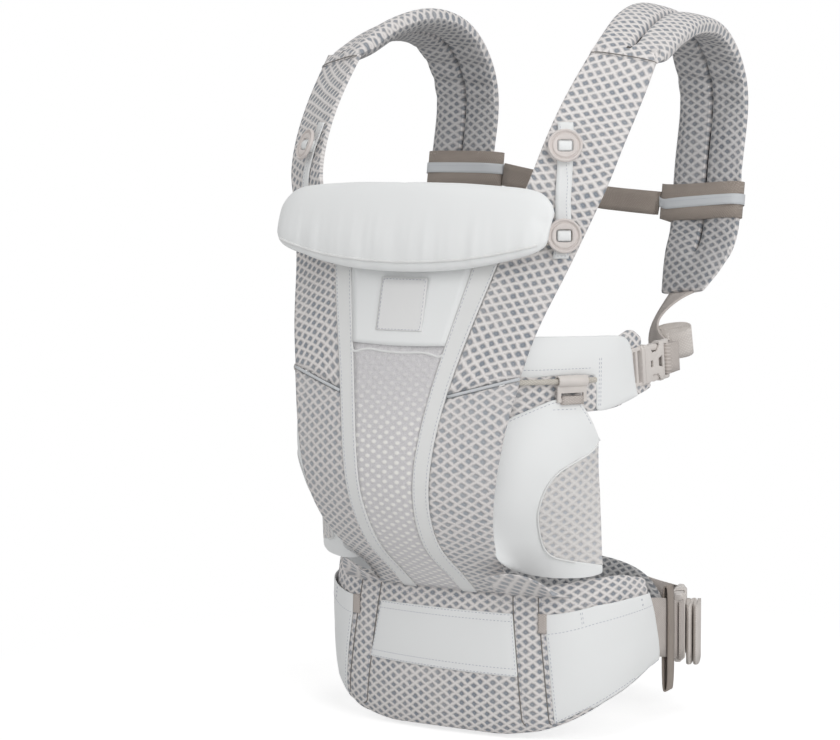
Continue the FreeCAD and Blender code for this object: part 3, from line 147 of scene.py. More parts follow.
@dataclass(frozen=True)
class Finish:
    """A surface finish. Each kind of surface adds its own colour and relief nodes."""

    name: str
    slot: str
    colour: str
    roughness: float = 0.9
    specular: float = 0.25
    sheen: float = 0.0

    def material(self) -> bpy.types.Material:
        """The finish as a material, made once."""
        known = bpy.data.materials.get(self.name)
        if known:
            return known
        made = bpy.data.materials.new(self.name)
        made.diffuse_color = linear(self.colour)
        tree = cleared(made)
        shader = add_node(tree, "BsdfPrincipled", links={
            "Base Color": linear(self.colour), "Roughness": self.roughness,
            "Specular IOR Level": self.specular, "Sheen Weight": self.sheen, "Sheen Roughness": 0.6,
        })
        add_node(tree, "OutputMaterial", links={"Surface": shader})
        self.dress(tree, shader)
        return made

    def dress(self, tree: Tree, shader: Node) -> None:
        """Adds the nodes of this kind of surface."""

    def grain(self, tree: Tree, size: float, detail: float = 2.0) -> Node:
        """Even noise in the piece's own space, whose grains are about size millimetres."""
        where = add_node(tree, "TexCoord")
        return add_node(tree, "TexNoise", {}, {
            "Vector": where.outputs["Object"], "Scale": 1.0 / (size * MM), "Detail": detail,
        })

    def coat(self, tree: Tree, shader: Node, share: Node, low: object, high: Colour, height: Node,
             depth: float, strength: float) -> None:
        """Colours the surface between two colours and raises it.

        Args:
            tree: The material's node tree.
            shader: The material's shader.
            share: How much of the second colour shows.
            low: The first colour, or the socket that gives it.
            high: The second colour.
            height: The relief, from 0 to 1.
            depth: The relief's depth in millimetres.
            strength: How strongly the relief shades the surface.
        """
        mix = add_node(tree, "Mix", COLOURS, {0: share, 6: low, 7: high})
        tree.links.new(mix.outputs[2], shader.inputs["Base Color"])
        bump = add_node(tree, "Bump", {}, {
            "Height": height, "Distance": depth * MM, "Strength": strength,
        })
        tree.links.new(bump.outputs[0], shader.inputs["Normal"])


@dataclass(frozen=True)
class SpacerMesh(Finish):
    """Knitted polyester spacer mesh: bright yarn in a diagonal lattice round sunk, blue-grey pores."""

    pore: str = "#8E96A0"
    bright: str = "#F7F4F3"
    pore_half: tuple[float, float] = (2.45, 2.05)      # half a pore across and along the cloth
    pore_rim: tuple[float, float] = (0.4, 1.5)         # where a pore starts to fade and ends, in half pores
    line_rim: tuple[float, float] = (0.26, 0.48)       # the same for the bright yarn, in cells
    line_share: float = 0.66

    def turned(self, tree: Tree) -> tuple[Node, Node]:
        """The cloth's own coordinates, and the same turned and scaled to the lattice's cells."""
        root = math.sqrt(2.0)
        cloth = add_node(tree, "UVMap", {"uv_map": CLOTH_UV})
        return cloth, add_node(tree, "Mapping", {}, {
            "Vector": cloth, "Rotation": (0, 0, math.pi / 4),
            "Scale": (root / MESH_ACROSS, root / MESH_ALONG, 1.0),
        })

    def lattice(self, tree: Tree) -> tuple[Node, Node]:
        """The lattice, whose rows waver a little as knitting does.

        Args:
            tree: The material's node tree.

        Returns:
            How far each point is from its cell's middle, in cells, and the same as a vector in millimetres.
        """
        root = math.sqrt(2.0)
        cloth, turned = self.turned(tree)
        wobble = add_node(tree, "TexNoise", {"noise_dimensions": "2D"}, {
            "Vector": cloth, "Scale": 0.22, "Detail": 1.0,
        })
        shifted = add_node(tree, "VectorMath", MULTIPLY_ADD, {
            0: wobble.outputs["Color"], 1: (0.22, 0.22, 0.0), 2: turned,
        })
        cell = add_node(tree, "TexVoronoi", {"voronoi_dimensions": "2D", "distance": "CHEBYCHEV"}, {
            "Vector": shifted, "Scale": 1.0, "Randomness": 0.0,
        })
        inside = add_node(tree, "VectorMath", {"operation": "SUBTRACT"}, {
            0: shifted, 1: cell.outputs["Position"],
        })
        upright = add_node(tree, "Mapping", {}, {
            "Vector": inside, "Rotation": (0, 0, -math.pi / 4),
        })
        return cell, add_node(tree, "VectorMath", MULTIPLY, {
            0: upright, 1: (MESH_ACROSS / root, MESH_ALONG / root, 0.0),
        })

    def dress(self, tree: Tree, shader: Node) -> None:
        """Dark pores with a paler middle, a grey ground and bright yarns along the borders of the cells."""
        cell, local = self.lattice(tree)
        size = add_node(tree, "VectorMath", {"operation": "ABSOLUTE"}, {0: local})
        share = add_node(tree, "VectorMath", {"operation": "DIVIDE"}, {
            0: size, 1: (*self.pore_half, 1.0),
        })
        parts = add_node(tree, "SeparateXYZ", {}, {0: share})
        powers = [add_node(tree, "Math", {"operation": "POWER"}, {0: parts.outputs[i], 1: 1.35})
                  for i in (0, 1)]
        reach = add_node(tree, "Math", {"operation": "ADD"}, {0: powers[0], 1: powers[1]})
        pore, middle, line = (add_node(tree, "MapRange", SMOOTH_STEP, {
            "Value": value, "From Min": start, "From Max": end, "To Min": first, "To Max": last,
        }) for value, (start, end), first, last in (
            (reach, self.pore_rim, 1.0, 0.0),
            (reach, (0.0, 0.45), 0.78, 1.0),
            (cell.outputs["Distance"], self.line_rim, 0.0, self.line_share),
        ))
        yarn = self.grain(tree, 1.3, 3.0)
        broad = self.grain(tree, 22.0, 1.0)
        uneven = add_node(tree, "Math", MULTIPLY_ADD, {0: broad, 1: 0.8, 2: 0.55})
        depth = add_node(tree, "Math", MULTIPLY, {0: pore, 1: middle})
        shown = add_node(tree, "Math", {**MULTIPLY, "use_clamp": True}, {0: depth, 1: uneven})
        ground = add_node(tree, "Mix", COLOURS, {
            0: yarn, 6: linear(self.colour, 0.90), 7: linear(self.colour, 1.06),
        })
        bright = linear(self.bright)
        lit = add_node(tree, "Mix", COLOURS, {0: line, 6: ground.outputs[2], 7: bright})
        height = add_node(tree, "Math", MULTIPLY_ADD, {0: yarn, 1: 0.3, 2: line})
        sunk = add_node(tree, "Math", {"operation": "SUBTRACT"}, {0: height, 1: pore})
        self.coat(tree, shader, shown, lit.outputs[2], linear(self.pore), sunk, 0.7, 0.8)


@dataclass(frozen=True)
class WindowKnit(SpacerMesh):
    """Fine ventilation knit: a grey ground in which paler backing shows through rows of round holes."""

    dot_rim: tuple[float, float] = (0.12, 0.42)        # where a hole starts to fade and ends, in cells
    doubled: tuple[float, float] = (248.0, 168.0)      # the cloth heights over which the holes grow clear

    def dress(self, tree: Tree, shader: Node) -> None:
        """Pale dots on the lattice, fainter where the cloth lies doubled, and a slightly shiny ground."""
        cloth, turned = self.turned(tree)
        cell = add_node(tree, "TexVoronoi", {"voronoi_dimensions": "2D"}, {
            "Vector": turned, "Scale": 1.0, "Randomness": 0.0,
        })
        parts = add_node(tree, "SeparateXYZ", {}, {0: cloth})
        dot, fade = (add_node(tree, "MapRange", SMOOTH_STEP, {
            "Value": value, "From Min": start, "From Max": end, "To Min": first, "To Max": last,
        }) for value, (start, end), first, last in (
            (cell.outputs["Distance"], self.dot_rim, 1.0, 0.0), (parts.outputs[1], self.doubled, 0.12, 1.0),
        ))
        shown = add_node(tree, "Math", MULTIPLY, {0: dot, 1: fade})
        yarn = self.grain(tree, 1.1, 3.0)
        ground = add_node(tree, "Mix", COLOURS, {
            0: yarn, 6: linear(self.colour, 0.88), 7: linear(self.colour, 1.08),
        })
        height = add_node(tree, "Math", MULTIPLY_ADD, {0: yarn, 1: 0.6, 2: dot})
        self.coat(tree, shader, shown, ground.outputs[2], linear(self.pore), height, 0.5, 0.7)


@dataclass(frozen=True)
class Softshell(Finish):
    """Tightly woven matte polyester: almost smooth, with the faint slubs and slow folds of sewn cloth."""

    fold: float = 1.6

    def dress(self, tree: Tree, shader: Node) -> None:
        """A weave drawn at 0.9 mm, coarser than the real 0.3 mm so that it shows, over broad soft folds."""
        weave = self.grain(tree, 0.9, 2.0)
        broad = self.grain(tree, 34.0, 2.0)
        tone = add_node(tree, "Math", MULTIPLY_ADD, {0: weave, 1: 0.5, 2: 0.25})
        height = add_node(tree, "Math", MULTIPLY_ADD, {0: weave, 1: 0.06, 2: broad})
        self.coat(tree, shader, tone, linear(self.colour), (0.82, 0.82, 0.815, 1.0), height, self.fold, 0.8)


@dataclass(frozen=True)
class Webbing(Finish):
    """Woven polyester webbing: fine ribs across and a chevron of yarns that catches the light."""

    rib: float = 1.7
    dark: str = "#A79F99"
    slant: float = 0.6

    def dress(self, tree: Tree, shader: Node) -> None:
        """Two slanted sets of ribs on the webbing's own coordinates."""
        cloth = add_node(tree, "UVMap", {"uv_map": CLOTH_UV})
        waves = []
        for slant in (self.slant, -self.slant):
            turned = add_node(tree, "Mapping", {}, {"Vector": cloth, "Rotation": (0, 0, slant)})
            waves.append(add_node(tree, "TexWave", {"bands_direction": "Y"}, {
                "Vector": turned, "Scale": math.pi / (10 * self.rib), "Distortion": 0.6, "Detail": 1.0,
            }).outputs["Fac"])
        both = add_node(tree, "Math", MULTIPLY, {0: waves[0], 1: waves[1]})
        worn = self.grain(tree, 9.0, 2.0)
        share = add_node(tree, "Math", MULTIPLY_ADD, {0: worn, 1: 0.4, 2: both})
        self.coat(tree, shader, share, linear(self.dark), linear(self.colour), both, 0.35, 0.7)


@dataclass(frozen=True)
class Moulded(Finish):
    """Injection-moulded acetal: matte, with the fine spark-eroded grain of the tool."""

    polished: str = "#D2CCC8"

    def dress(self, tree: Tree, shader: Node) -> None:
        """A shallow grain, and a slow change of tone where hands have polished it."""
        fine = self.grain(tree, 0.8, 2.0)
        slow = self.grain(tree, 14.0, 1.0)
        self.coat(tree, shader, slow, linear(self.colour), linear(self.polished), fine, 0.12, 0.5)


@dataclass(frozen=True)
class Reflective(Finish):
    """Glass-bead reflective tape: a satin grey film with a fine cross-hatch of beads."""

    shimmer: str = "#A3ADB3"

    def dress(self, tree: Tree, shader: Node) -> None:
        """Bead rows at 1 mm, over a slow shimmer."""
        beads = self.grain(tree, 1.0, 1.0)
        slow = self.grain(tree, 18.0, 1.0)
        self.coat(tree, shader, slow, linear(self.colour), linear(self.shimmer), beads, 0.1, 0.5)


SPACER = SpacerMesh("spacer_mesh_light", "spacer_mesh", "#D5D1D0", 0.95, 0.15, 0.15,
                    pore="#8C939C", bright="#F6F2F0")
SEAT_MESH = SpacerMesh("spacer_mesh_seat", "spacer_mesh", "#D2CFCE", 0.95, 0.15, 0.15,
                       pore="#A1A6AD", bright="#EEEAE8")
# Painted shade: a darker copy of the light spacer mesh. The straps' wearer-facing side is the same cloth,
# darkened for the shade that falls there.
SPACER_PAINTED_SHADE = SpacerMesh("spacer_mesh_inner", "spacer_mesh", "#B7B5B5", 0.95, 0.15, 0.1,
                          pore="#7A7F86", bright="#CDCBCB")
LUMBAR_MESH = SpacerMesh("spacer_mesh_dark", "spacer_mesh", "#B3B2B2", 0.95, 0.15, 0.15,
                         pore="#6C7178", bright="#C9C8C8")
LINING = SpacerMesh("lining_mesh", "lining_mesh", "#BDBCBD", 0.95, 0.15, 0.1,
                    pore="#8A8F96", bright="#D2D1D1")
WINDOW = WindowKnit("window_knit", "window_mesh", "#D4D2D4", 0.7, 0.35, 0.2, pore="#F4F2EE")
LEG_KNIT = SpacerMesh("leg_mesh_knit", "window_mesh", "#DDDAD8", 0.9, 0.2, 0.15,
                      pore="#BEC1C7", bright="#E9E6E4", pore_half=(2.0, 1.6))
SHELL = Softshell("softshell", "softshell", "#E6E6E4", 0.85, 0.2, 0.1)
BINDING = Softshell("binding_tape", "binding", "#E4E5E4", 0.8, 0.2, 0.1, fold=0.8)
LABEL = Softshell("blank_label_weave", "label", "#E6E6E6", 0.7, 0.3, 0.1, fold=0.4)
STRAP_WEB = Webbing("webbing_beige", "webbing", "#D2CAC5", 0.85, 0.2, 0.1, dark="#B2AAA4")
# Painted light: a lighter copy of the beige webbing for the rolled and folded tails. They are the same
# webbing, lightened so that they read as lit where they lie in shade. The copy is also a little smoother.
ROLLED_WEB_PAINTED_LIGHT = Webbing("webbing_beige_rolled", "webbing", "#E6E0DB", 0.8, 0.25, 0.1, dark="#CFC8C2")
ELASTIC = Webbing("elastic_taupe", "elastic", "#ADA299", 0.85, 0.2, 0.1, rib=1.4, dark="#8D837B")
TAPE = Reflective("reflective_tape", "reflective_tape", "#8F999F", 0.5, 0.4)
PLASTIC = Moulded("moulded_beige", "plastic", "#DED8D3", 0.5, 0.4)
BUTTON = Moulded("moulded_button", "button_plastic", "#DBD2CE", 0.45, 0.45)
CORD = Webbing("cord_braid", "cord", "#DAD5CC", 0.8, 0.2, 0.1, rib=1.2, dark="#B9B3AA")
THREAD = Finish("thread_grey", "binding", "#B9BBC6", 0.6, 0.4)
# A dark taupe for tubes laid in seams: partly the seam's thread, partly painted shade of the pressed or
# joined seam line.
THREAD_AND_PAINTED_SHADE = Finish("thread_taupe", "binding", "#807C78", 0.7, 0.3)
# Painted shade: a near-black finish on the walls of the straps' sewn channel, standing for the shadow in that
# deep groove.
CHANNEL_PAINTED_SHADE = Finish("channel_stitching", "spacer_mesh", "#5E5C5B", 0.9, 0.1)


# ---- lines along which cloth is laid
def rounded(four: np.ndarray, t: float) -> np.ndarray:
    """A point between the second and third of four points, on a smooth line through them."""
    p0, p1, p2, p3 = four
    return 0.5 * (2 * p1 + (p2 - p0) * t + (2 * p0 - 5 * p1 + 4 * p2 - p3) * t * t
                  + (3 * p1 - p0 - 3 * p2 + p3) * t ** 3)


def lengths(points: np.ndarray) -> np.ndarray:
    """The length run along a line at each of its points."""
    return np.concatenate([[0.0], np.cumsum(np.linalg.norm(np.diff(points, axis=0), axis=1))])


@dataclass
class Spine:
    """A smooth line through stations, each with the direction across, a half width and a half thickness."""

    centres: np.ndarray
    across: np.ndarray
    half_width: np.ndarray
    half_thick: np.ndarray
    level: bool = False        # measured along the level line and straight up, as on a waistband
    steps: int = 12

    @classmethod
    def of(cls, rows: Iterable[tuple], level: bool = False) -> "Spine":
        """Makes a spine from a table.

        Args:
            rows: The stations, each with its centre, its direction across, half width and half thickness.
            level: Whether cloth on it is measured along the level line and straight up.

        Returns:
            The spine.
        """
        rows = list(rows)
        return cls(
            np.array([tuple(r[0]) for r in rows], float), np.array([tuple(r[1]) for r in rows], float),
            np.array([r[2] for r in rows], float), np.array([r[3] for r in rows], float), level,
        )

    @staticmethod
    def through(rows: Sequence, side: Side = Side.RIGHT, level: bool = False) -> "Spine":
        """A bare line on a side, through centres that each have their direction across."""
        return Spine.of([(side.turn(centre), side.turn(across), 1, 1) for centre, across in rows], level)

    def __post_init__(self) -> None:
        """Fills in the finely divided line."""
        values = np.column_stack([self.centres, self.across, self.half_width, self.half_thick])
        padded = np.vstack([2 * values[0] - values[1], values, 2 * values[-1] - values[-2]])
        fine = [rounded(padded[k:k + 4], step / self.steps)
                for k in range(len(values) - 1) for step in range(self.steps)]
        fine.append(values[-1])
        self.fine = np.array(fine)
        self.line = self.fine[:, :3].copy()
        if self.level:
            self.line[:, 2] = 0.0
        self.fine[:, 3:6] /= np.linalg.norm(self.fine[:, 3:6], axis=1)[:, None]
        self.length_at = lengths(self.line)

    @property
    def length(self) -> float:
        """The whole length."""
        return self.length_at[-1]

    def at(self, share: float) -> tuple[Vector, Vector, Vector, float, float]:
        """Reads the spine at a share of its length.

        Args:
            share: From 0 at the first station to 1 at the last.

        Returns:
            The centre, the direction across, the outward direction, the half width and the half thickness.
        """
        target = share * self.length
        k = int(np.clip(np.searchsorted(self.length_at, target) - 1, 0, len(self.fine) - 2))
        t = (target - self.length_at[k]) / (self.length_at[k + 1] - self.length_at[k])
        row = self.fine[k] * (1 - t) + self.fine[k + 1] * t
        low, high = max(k - 1, 0), min(k + 2, len(self.fine) - 1)
        along = Vector(self.fine[high, :3] - self.fine[low, :3]).normalized()
        across = Vector(row[3:6]).normalized()
        return Vector(row[:3]), across, along.cross(across).normalized(), float(row[6]), float(row[7])

    def measure(self, points: np.ndarray, wrapped: bool = False) -> np.ndarray:
        """Cloth coordinates of points: across and along, or along and up if level.

        Args:
            points: The points, in metres.
            wrapped: Whether the cloth goes on round a padded body's edges.

        Returns:
            The coordinates, in millimetres.
        """
        where = points / MM
        seen = where.copy()
        if self.level:
            seen[:, 2] = 0.0
        start, run = self.line[:-1], np.diff(self.line, axis=0)
        size = np.maximum((run ** 2).sum(1), 1e-9)
        found = []
        for block in range(0, len(seen), 4000):
            part = seen[block:block + 4000]
            offset = part[:, None, :] - start[None]
            share = np.clip((offset * run[None]).sum(2) / size[None], 0, 1)
            gap = ((offset - share[..., None] * run[None]) ** 2).sum(2)
            nearest = gap.argmin(1)
            rows = np.arange(len(part))
            t = share[rows, nearest]
            along = self.length_at[nearest] + t * np.sqrt(size[nearest])
            middle = start[nearest] + t[:, None] * run[nearest]
            if self.level:
                up = where[block:block + 4000, 2]
                height = np.sqrt(gap[rows, nearest])
                if wrapped:
                    up = up + self.round_edge(up - self.fine[nearest, 2], height, nearest)
                found.append(np.column_stack([along, up]))
                continue
            sideways = ((part - middle) * self.fine[nearest, 3:6]).sum(1)
            if wrapped:
                height = np.sqrt(np.maximum(((part - middle) ** 2).sum(1) - sideways ** 2, 0.0))
                sideways = sideways + self.round_edge(sideways, height, nearest)
            found.append(np.column_stack([sideways, along]))
        return np.vstack(found)

    def round_edge(self, sideways: np.ndarray, height: np.ndarray, nearest: np.ndarray) -> np.ndarray:
        """The cloth length that lies round a padded body's edge, to add to the distance sideways."""
        half_width, thick = self.fine[nearest, 6], self.fine[nearest, 7]
        down = np.clip(thick - height, 0.0, thick) * (np.abs(sideways) > half_width / 2)
        return np.sign(sideways) * down


# ---- mesh tools
def merged_copy(*nodes: str) -> Mesh:
    """One mesh of copies of CAD nodes, with their doubles merged."""
    mesh = bmesh.new()
    for node in nodes:
        mesh.from_mesh(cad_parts[node].data)
    bmesh.ops.remove_doubles(mesh, verts=mesh.verts[:], dist=1e-5)
    return mesh


def islands(mesh: Mesh) -> list[set]:
    """The connected groups of faces."""
    left, groups = set(mesh.faces), []
    while left:
        todo, group = [left.pop()], set()
        while todo:
            face = todo.pop()
            group.add(face)
            for edge in face.edges:
                for other in edge.link_faces:
                    if other in left:
                        left.discard(other)
                        todo.append(other)
        groups.append(group)
    return groups


def quads_with_creases(mesh: Mesh, sharp_degrees: float) -> None:
    """Joins triangles into quads and creases the edges that turn more than an angle."""
    bmesh.ops.join_triangles(mesh, faces=mesh.faces[:], angle_face_threshold=math.radians(32),
                             angle_shape_threshold=math.radians(75))
    layer = mesh.edges.layers.float.get("crease_edge") or mesh.edges.layers.float.new("crease_edge")
    for edge in mesh.edges:
        if len(edge.link_faces) != 2 or edge.calc_face_angle(0.0) > math.radians(sharp_degrees):
            edge[layer] = 1.0


def grid_sheet(columns: int, rows: int, place: Place) -> Mesh:
    """A sheet whose grid is laid by a rule.

    Args:
        columns: Faces along the first share.
        rows: Faces along the second share.
        place: Gives the point in millimetres at two shares from 0 to 1.

    Returns:
        The sheet, facing the side from which the shares run right and up.
    """
    mesh = bmesh.new()
    bmesh.ops.create_grid(mesh, x_segments=columns, y_segments=rows, size=0.5)
    for vertex in mesh.verts:
        vertex.co = place(vertex.co.x + 0.5, vertex.co.y + 0.5) * MM
    return mesh


def smooth_line(points: Sequence[Sequence[float]], share: float) -> tuple[float, ...]:
    """A point at a share of a smooth line through control points.

    Args:
        points: The control points, flat or in space.
        share: From 0 at the first to 1 at the last.

    Returns:
        The point.
    """
    control = np.array(points, float)
    chord = np.concatenate([[0], np.cumsum(np.linalg.norm(np.diff(control, axis=0), axis=1) ** 0.8)])
    target = share * chord[-1]
    k = int(np.clip(np.searchsorted(chord, target) - 1, 0, len(control) - 2))
    t = (target - chord[k]) / (chord[k + 1] - chord[k])
    full = np.vstack([2 * control[0] - control[1], control, 2 * control[-1] - control[-2]])
    return tuple(float(v) for v in rounded(full[k:k + 4], t))


def between(low: Sequence, high: Sequence, u: float, v: float) -> tuple[float, ...]:
    """A point at two shares of a flat patch between two lines: u runs along them and v from low to high."""
    return tuple(p + (q - p) * v for p, q in zip(smooth_line(low, u), smooth_line(high, u)))


def padded_body(spine: Spine, columns: int, around: int, square: float = 3.2,
                channel: tuple[float, float] | None = None) -> Mesh:
    """A closed, filled body along a spine.

    Args:
        spine: Its middle line and its sizes.
        columns: Faces along it.
        around: Faces round its section.
        square: The section's fullness: 2 is an ellipse, and more is squarer.
        channel: The shares of the length between which a sewn channel parts it into two tubes.

    Returns:
        The body as a closed mesh.
    """
    fullness = 2.0 if channel else square

    def parted(u: float, wide: float) -> float:
        """The half height of a section that a channel parts into two tubes."""
        full = (1.0 - abs(wide) ** square) ** (1 / square)
        tube = (1.0 - abs(2 * abs(wide) - 1) ** 3) ** (1 / 3)
        rise = min(1.0, max(0.0, min(u - channel[0], channel[1] - u) / 0.03))
        return full + (tube - full) * rise * rise * (3 - 2 * rise)

    def place(u: float, w: float) -> Vector:
        """A point of the body at two shares."""
        centre, across, out, half_width, half_thick = spine.at(u)
        angle = 2 * math.pi * w
        c, s = math.cos(angle), math.sin(angle)
        wide = math.copysign(abs(c) ** (2 / fullness), c)
        tall = parted(u, max(-1.0, min(1.0, wide))) if channel else abs(s) ** (2 / fullness)
        return centre + across * (wide * half_width) + out * (math.copysign(tall, s) * half_thick)

    mesh = grid_sheet(columns, around, place)
    bmesh.ops.remove_doubles(mesh, verts=mesh.verts[:], dist=1e-5)
    bmesh.ops.holes_fill(mesh, edges=[e for e in mesh.edges if e.is_boundary], sides=0)
    rims = [f for f in mesh.faces if len(f.verts) > 4]
    bmesh.ops.inset_region(mesh, faces=rims, thickness=2.0 * MM, use_even_offset=True)
    bmesh.ops.recalc_face_normals(mesh, faces=mesh.faces[:])
    return mesh


def in_scene(name: str, data: bpy.types.ID) -> Piece:
    """A new object of some data, linked to the scene."""
    made = bpy.data.objects.new(name, data)
    bpy.context.scene.collection.objects.link(made)
    return made


def tube_mesh(points: Sequence[Vector], radius: float, sides: int = 10) -> bpy.types.Mesh:
    """A round tube along a smooth line.

    Args:
        points: The line's control points, in millimetres.
        radius: The tube's radius, in millimetres.
        sides: About how many faces go round it.

    Returns:
        The tube as a mesh with closed ends.
    """
    curve = bpy.data.curves.new("line", "CURVE")
    curve.dimensions = "3D"
    spline = curve.splines.new("NURBS")
    spline.points.add(len(points) - 1)
    for point, control in zip(spline.points, points):
        point.co = (*(control * MM), 1.0)
    spline.order_u = 3
    spline.use_endpoint_u = True
    spline.resolution_u = 6
    curve.bevel_depth = radius * MM
    curve.bevel_resolution = max(0, sides // 4 - 1)
    curve.use_fill_caps = True
    holder = in_scene("line", curve)
    bpy.context.view_layer.update()
    mesh = bpy.data.meshes.new_from_object(holder.evaluated_get(bpy.context.evaluated_depsgraph_get()))
    bpy.data.objects.remove(holder)
    bpy.data.curves.remove(curve)
    return mesh


@dataclass
class Shape:
    """What a piece needs besides its mesh."""

    name: str
    finish: Finish
    stands_for: tuple[str, ...] = ()
    spine: Spine | None = None
    levels: int = 0
    bevel: float = 0.0
    thickness: float = 0.0
    fill: float | None = None
    body: str = "carrier"
    bend: tuple[str, Vector, Vector] | None = None     # the second body and where the bend starts and ends; these are not used: the piece is only kept in place, unbent and on no body


def baked(mesh: Mesh, name: str) -> bpy.types.Mesh:
    """The mesh as named data, with the working copy freed."""
    data = bpy.data.meshes.new(name)
    mesh.to_mesh(data)
    mesh.free()
    return data


def subdivide(piece: Piece, levels: int = 1) -> None:
    """Lets a piece be shown smoother by some levels of subdivision."""
    divided = piece.modifiers.new("Smooth", "SUBSURF")
    divided.levels = divided.render_levels = levels


def make_piece(shape: Shape, source: Mesh | bpy.types.Mesh) -> Piece:
    """Turns a mesh into a finished piece.

    Args:
        shape: The piece's name, finish, body and modifiers.
        source: Its mesh, in metres in the row frame.

    Returns:
        The piece, riding on its body, or kept in place on no body if it has a bend.
    """
    mesh = source if isinstance(source, bpy.types.Mesh) else baked(source, shape.name)
    mesh.name = shape.name
    piece = in_scene(shape.name, mesh)
    mesh.materials.clear()
    mesh.materials.append(shape.finish.material())
    mesh.polygons.foreach_set("use_smooth", [True] * len(mesh.polygons))
    lay_cloth(piece, shape.spine, shape.fill is not None)
    if shape.thickness:
        wall = piece.modifiers.new("Thickness", "SOLIDIFY")
        wall.thickness = shape.thickness * MM
        wall.offset = -1.0
    if shape.bevel:
        round_off = piece.modifiers.new("Rounding", "BEVEL")
        round_off.width = shape.bevel * MM
        round_off.segments = 2
        round_off.limit_method = "ANGLE"
        round_off.angle_limit = math.radians(35)
        round_off.harden_normals = True
    if shape.levels:
        subdivide(piece, shape.levels)
    if shape.bend:
        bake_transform(piece)
    else:
        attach(piece, shape.body)
    if shape.stands_for:
        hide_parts(*shape.stands_for)
    LOG.info("%s: %d faces on %s", shape.name, len(mesh.polygons), shape.body)
    return piece


def points_of(mesh: bpy.types.Mesh) -> np.ndarray:
    """A mesh's points in metres, one to a row."""
    points = np.empty(len(mesh.vertices) * 3, np.float32)
    mesh.vertices.foreach_get("co", points)
    return points.reshape(-1, 3).astype(float)


def lay_cloth(piece: Piece, spine: Spine | None, wrapped: bool) -> None:
    """Gives a piece cloth coordinates in millimetres.

    Args:
        piece: The piece.
        spine: The line that they are measured from, or none to take them straight from the front.
        wrapped: Whether the cloth goes on round a padded body's edges.
    """
    mesh = piece.data
    points = points_of(mesh)
    if spine is None:
        flat = points[:, [0, 2]] / MM
    else:
        flat = spine.measure(points, wrapped)
    layer = mesh.uv_layers.get(CLOTH_UV) or mesh.uv_layers.new(name=CLOTH_UV)
    corners = np.empty(len(mesh.loops), np.int32)
    mesh.loops.foreach_get("vertex_index", corners)
    layer.data.foreach_set("uv", flat[corners].astype(np.float32).ravel())


def line_inside(piece: Piece, spine: Spine, finish: Finish) -> None:
    """Gives the faces on the inner side of a spine a second finish."""
    mesh = piece.data
    mesh.materials.append(finish.material())
    middles = np.array([face.center for face in mesh.polygons])
    along = spine.measure(middles)[:, 0 if spine.level else 1] / spine.length
    for face, share in zip(mesh.polygons, along):
        out = spine.at(min(max(float(share), 0.0), 1.0))[2]
        if face.normal.dot(out) < -0.35:
            face.material_index = 1


def hard_piece(name: str, node: str, body: str = "carrier", bevel: float = 0.45) -> Piece:
    """A moulded piece: the CAD solid with its coplanar triangles joined and its edges rounded."""
    mesh = merged_copy(node)
    bmesh.ops.dissolve_limit(mesh, angle_limit=math.radians(1.0), verts=mesh.verts[:], edges=mesh.edges[:])
    return make_piece(Shape(name, PLASTIC, (node,), bevel=bevel, body=body), mesh)


def soft_piece(shape: Shape, sharp_degrees: float = 50.0) -> Piece:
    """A thin sewn piece: the solid's own facets as a cage for a smooth surface.

    Args:
        shape: The piece, with the nodes that it stands for.
        sharp_degrees: The least turn of an edge that stays sharp.

    Returns:
        The piece.
    """
    mesh = merged_copy(*shape.stands_for)
    quads_with_creases(mesh, sharp_degrees)
    return make_piece(shape, mesh)


def swell(piece: Piece, distance: float) -> None:
    """Moves a piece's points outward by a distance in millimetres."""
    for vertex, normal in zip(piece.data.vertices, [v.normal.copy() for v in piece.data.vertices]):
        vertex.co += normal * distance * MM


def puff(piece: Piece, spine: Spine, held: Callable[[np.ndarray], np.ndarray], cap: float,
         pressure: float = 4.0) -> None:
    """Fills a padded piece with air by cloth simulation and keeps the result in its mesh.

    Args:
        piece: A closed mesh without live modifiers that change its points.
        spine: The line from which cloth coordinates are measured.
        held: Gives each point's hold, from 0 to 1, from the cloth coordinates.
        cap: How far a point may move, in millimetres.
        pressure: The air pressure.
    """
    mesh = piece.data
    rest = points_of(mesh)
    weights = held(spine.measure(rest))
    sewn = piece.vertex_groups.new(name="sewn")
    for index, weight in enumerate(weights):
        if weight > 0.01:
            sewn.add([index], float(weight), "REPLACE")
    cloth = piece.modifiers.new("Cloth", "CLOTH")
    settings = cloth.settings
    settings.quality = 4
    settings.mass = 0.15
    settings.use_pressure = True
    settings.uniform_pressure_force = pressure
    settings.effector_weights.gravity = 0.0
    settings.tension_stiffness = 25
    settings.compression_stiffness = 25
    settings.bending_stiffness = 0.8
    settings.vertex_group_mass = "sewn"
    scene = bpy.context.scene
    for moment in range(1, 21):
        scene.frame_set(moment)
    result = piece.evaluated_get(bpy.context.evaluated_depsgraph_get())
    shift = points_of(result.data) - rest
    size = np.linalg.norm(shift, axis=1)
    LOG.info("%s: filled, mean move %.1f mm, most %.1f mm", piece.name, size.mean() / MM, size.max() / MM)
    shift *= np.minimum(1.0, cap * MM / np.maximum(size, 1e-9))[:, None]
    piece.modifiers.remove(cloth)
    piece.vertex_groups.remove(sewn)
    mesh.vertices.foreach_set("co", (rest + shift).ravel())
    mesh.update()
    scene.frame_set(1)


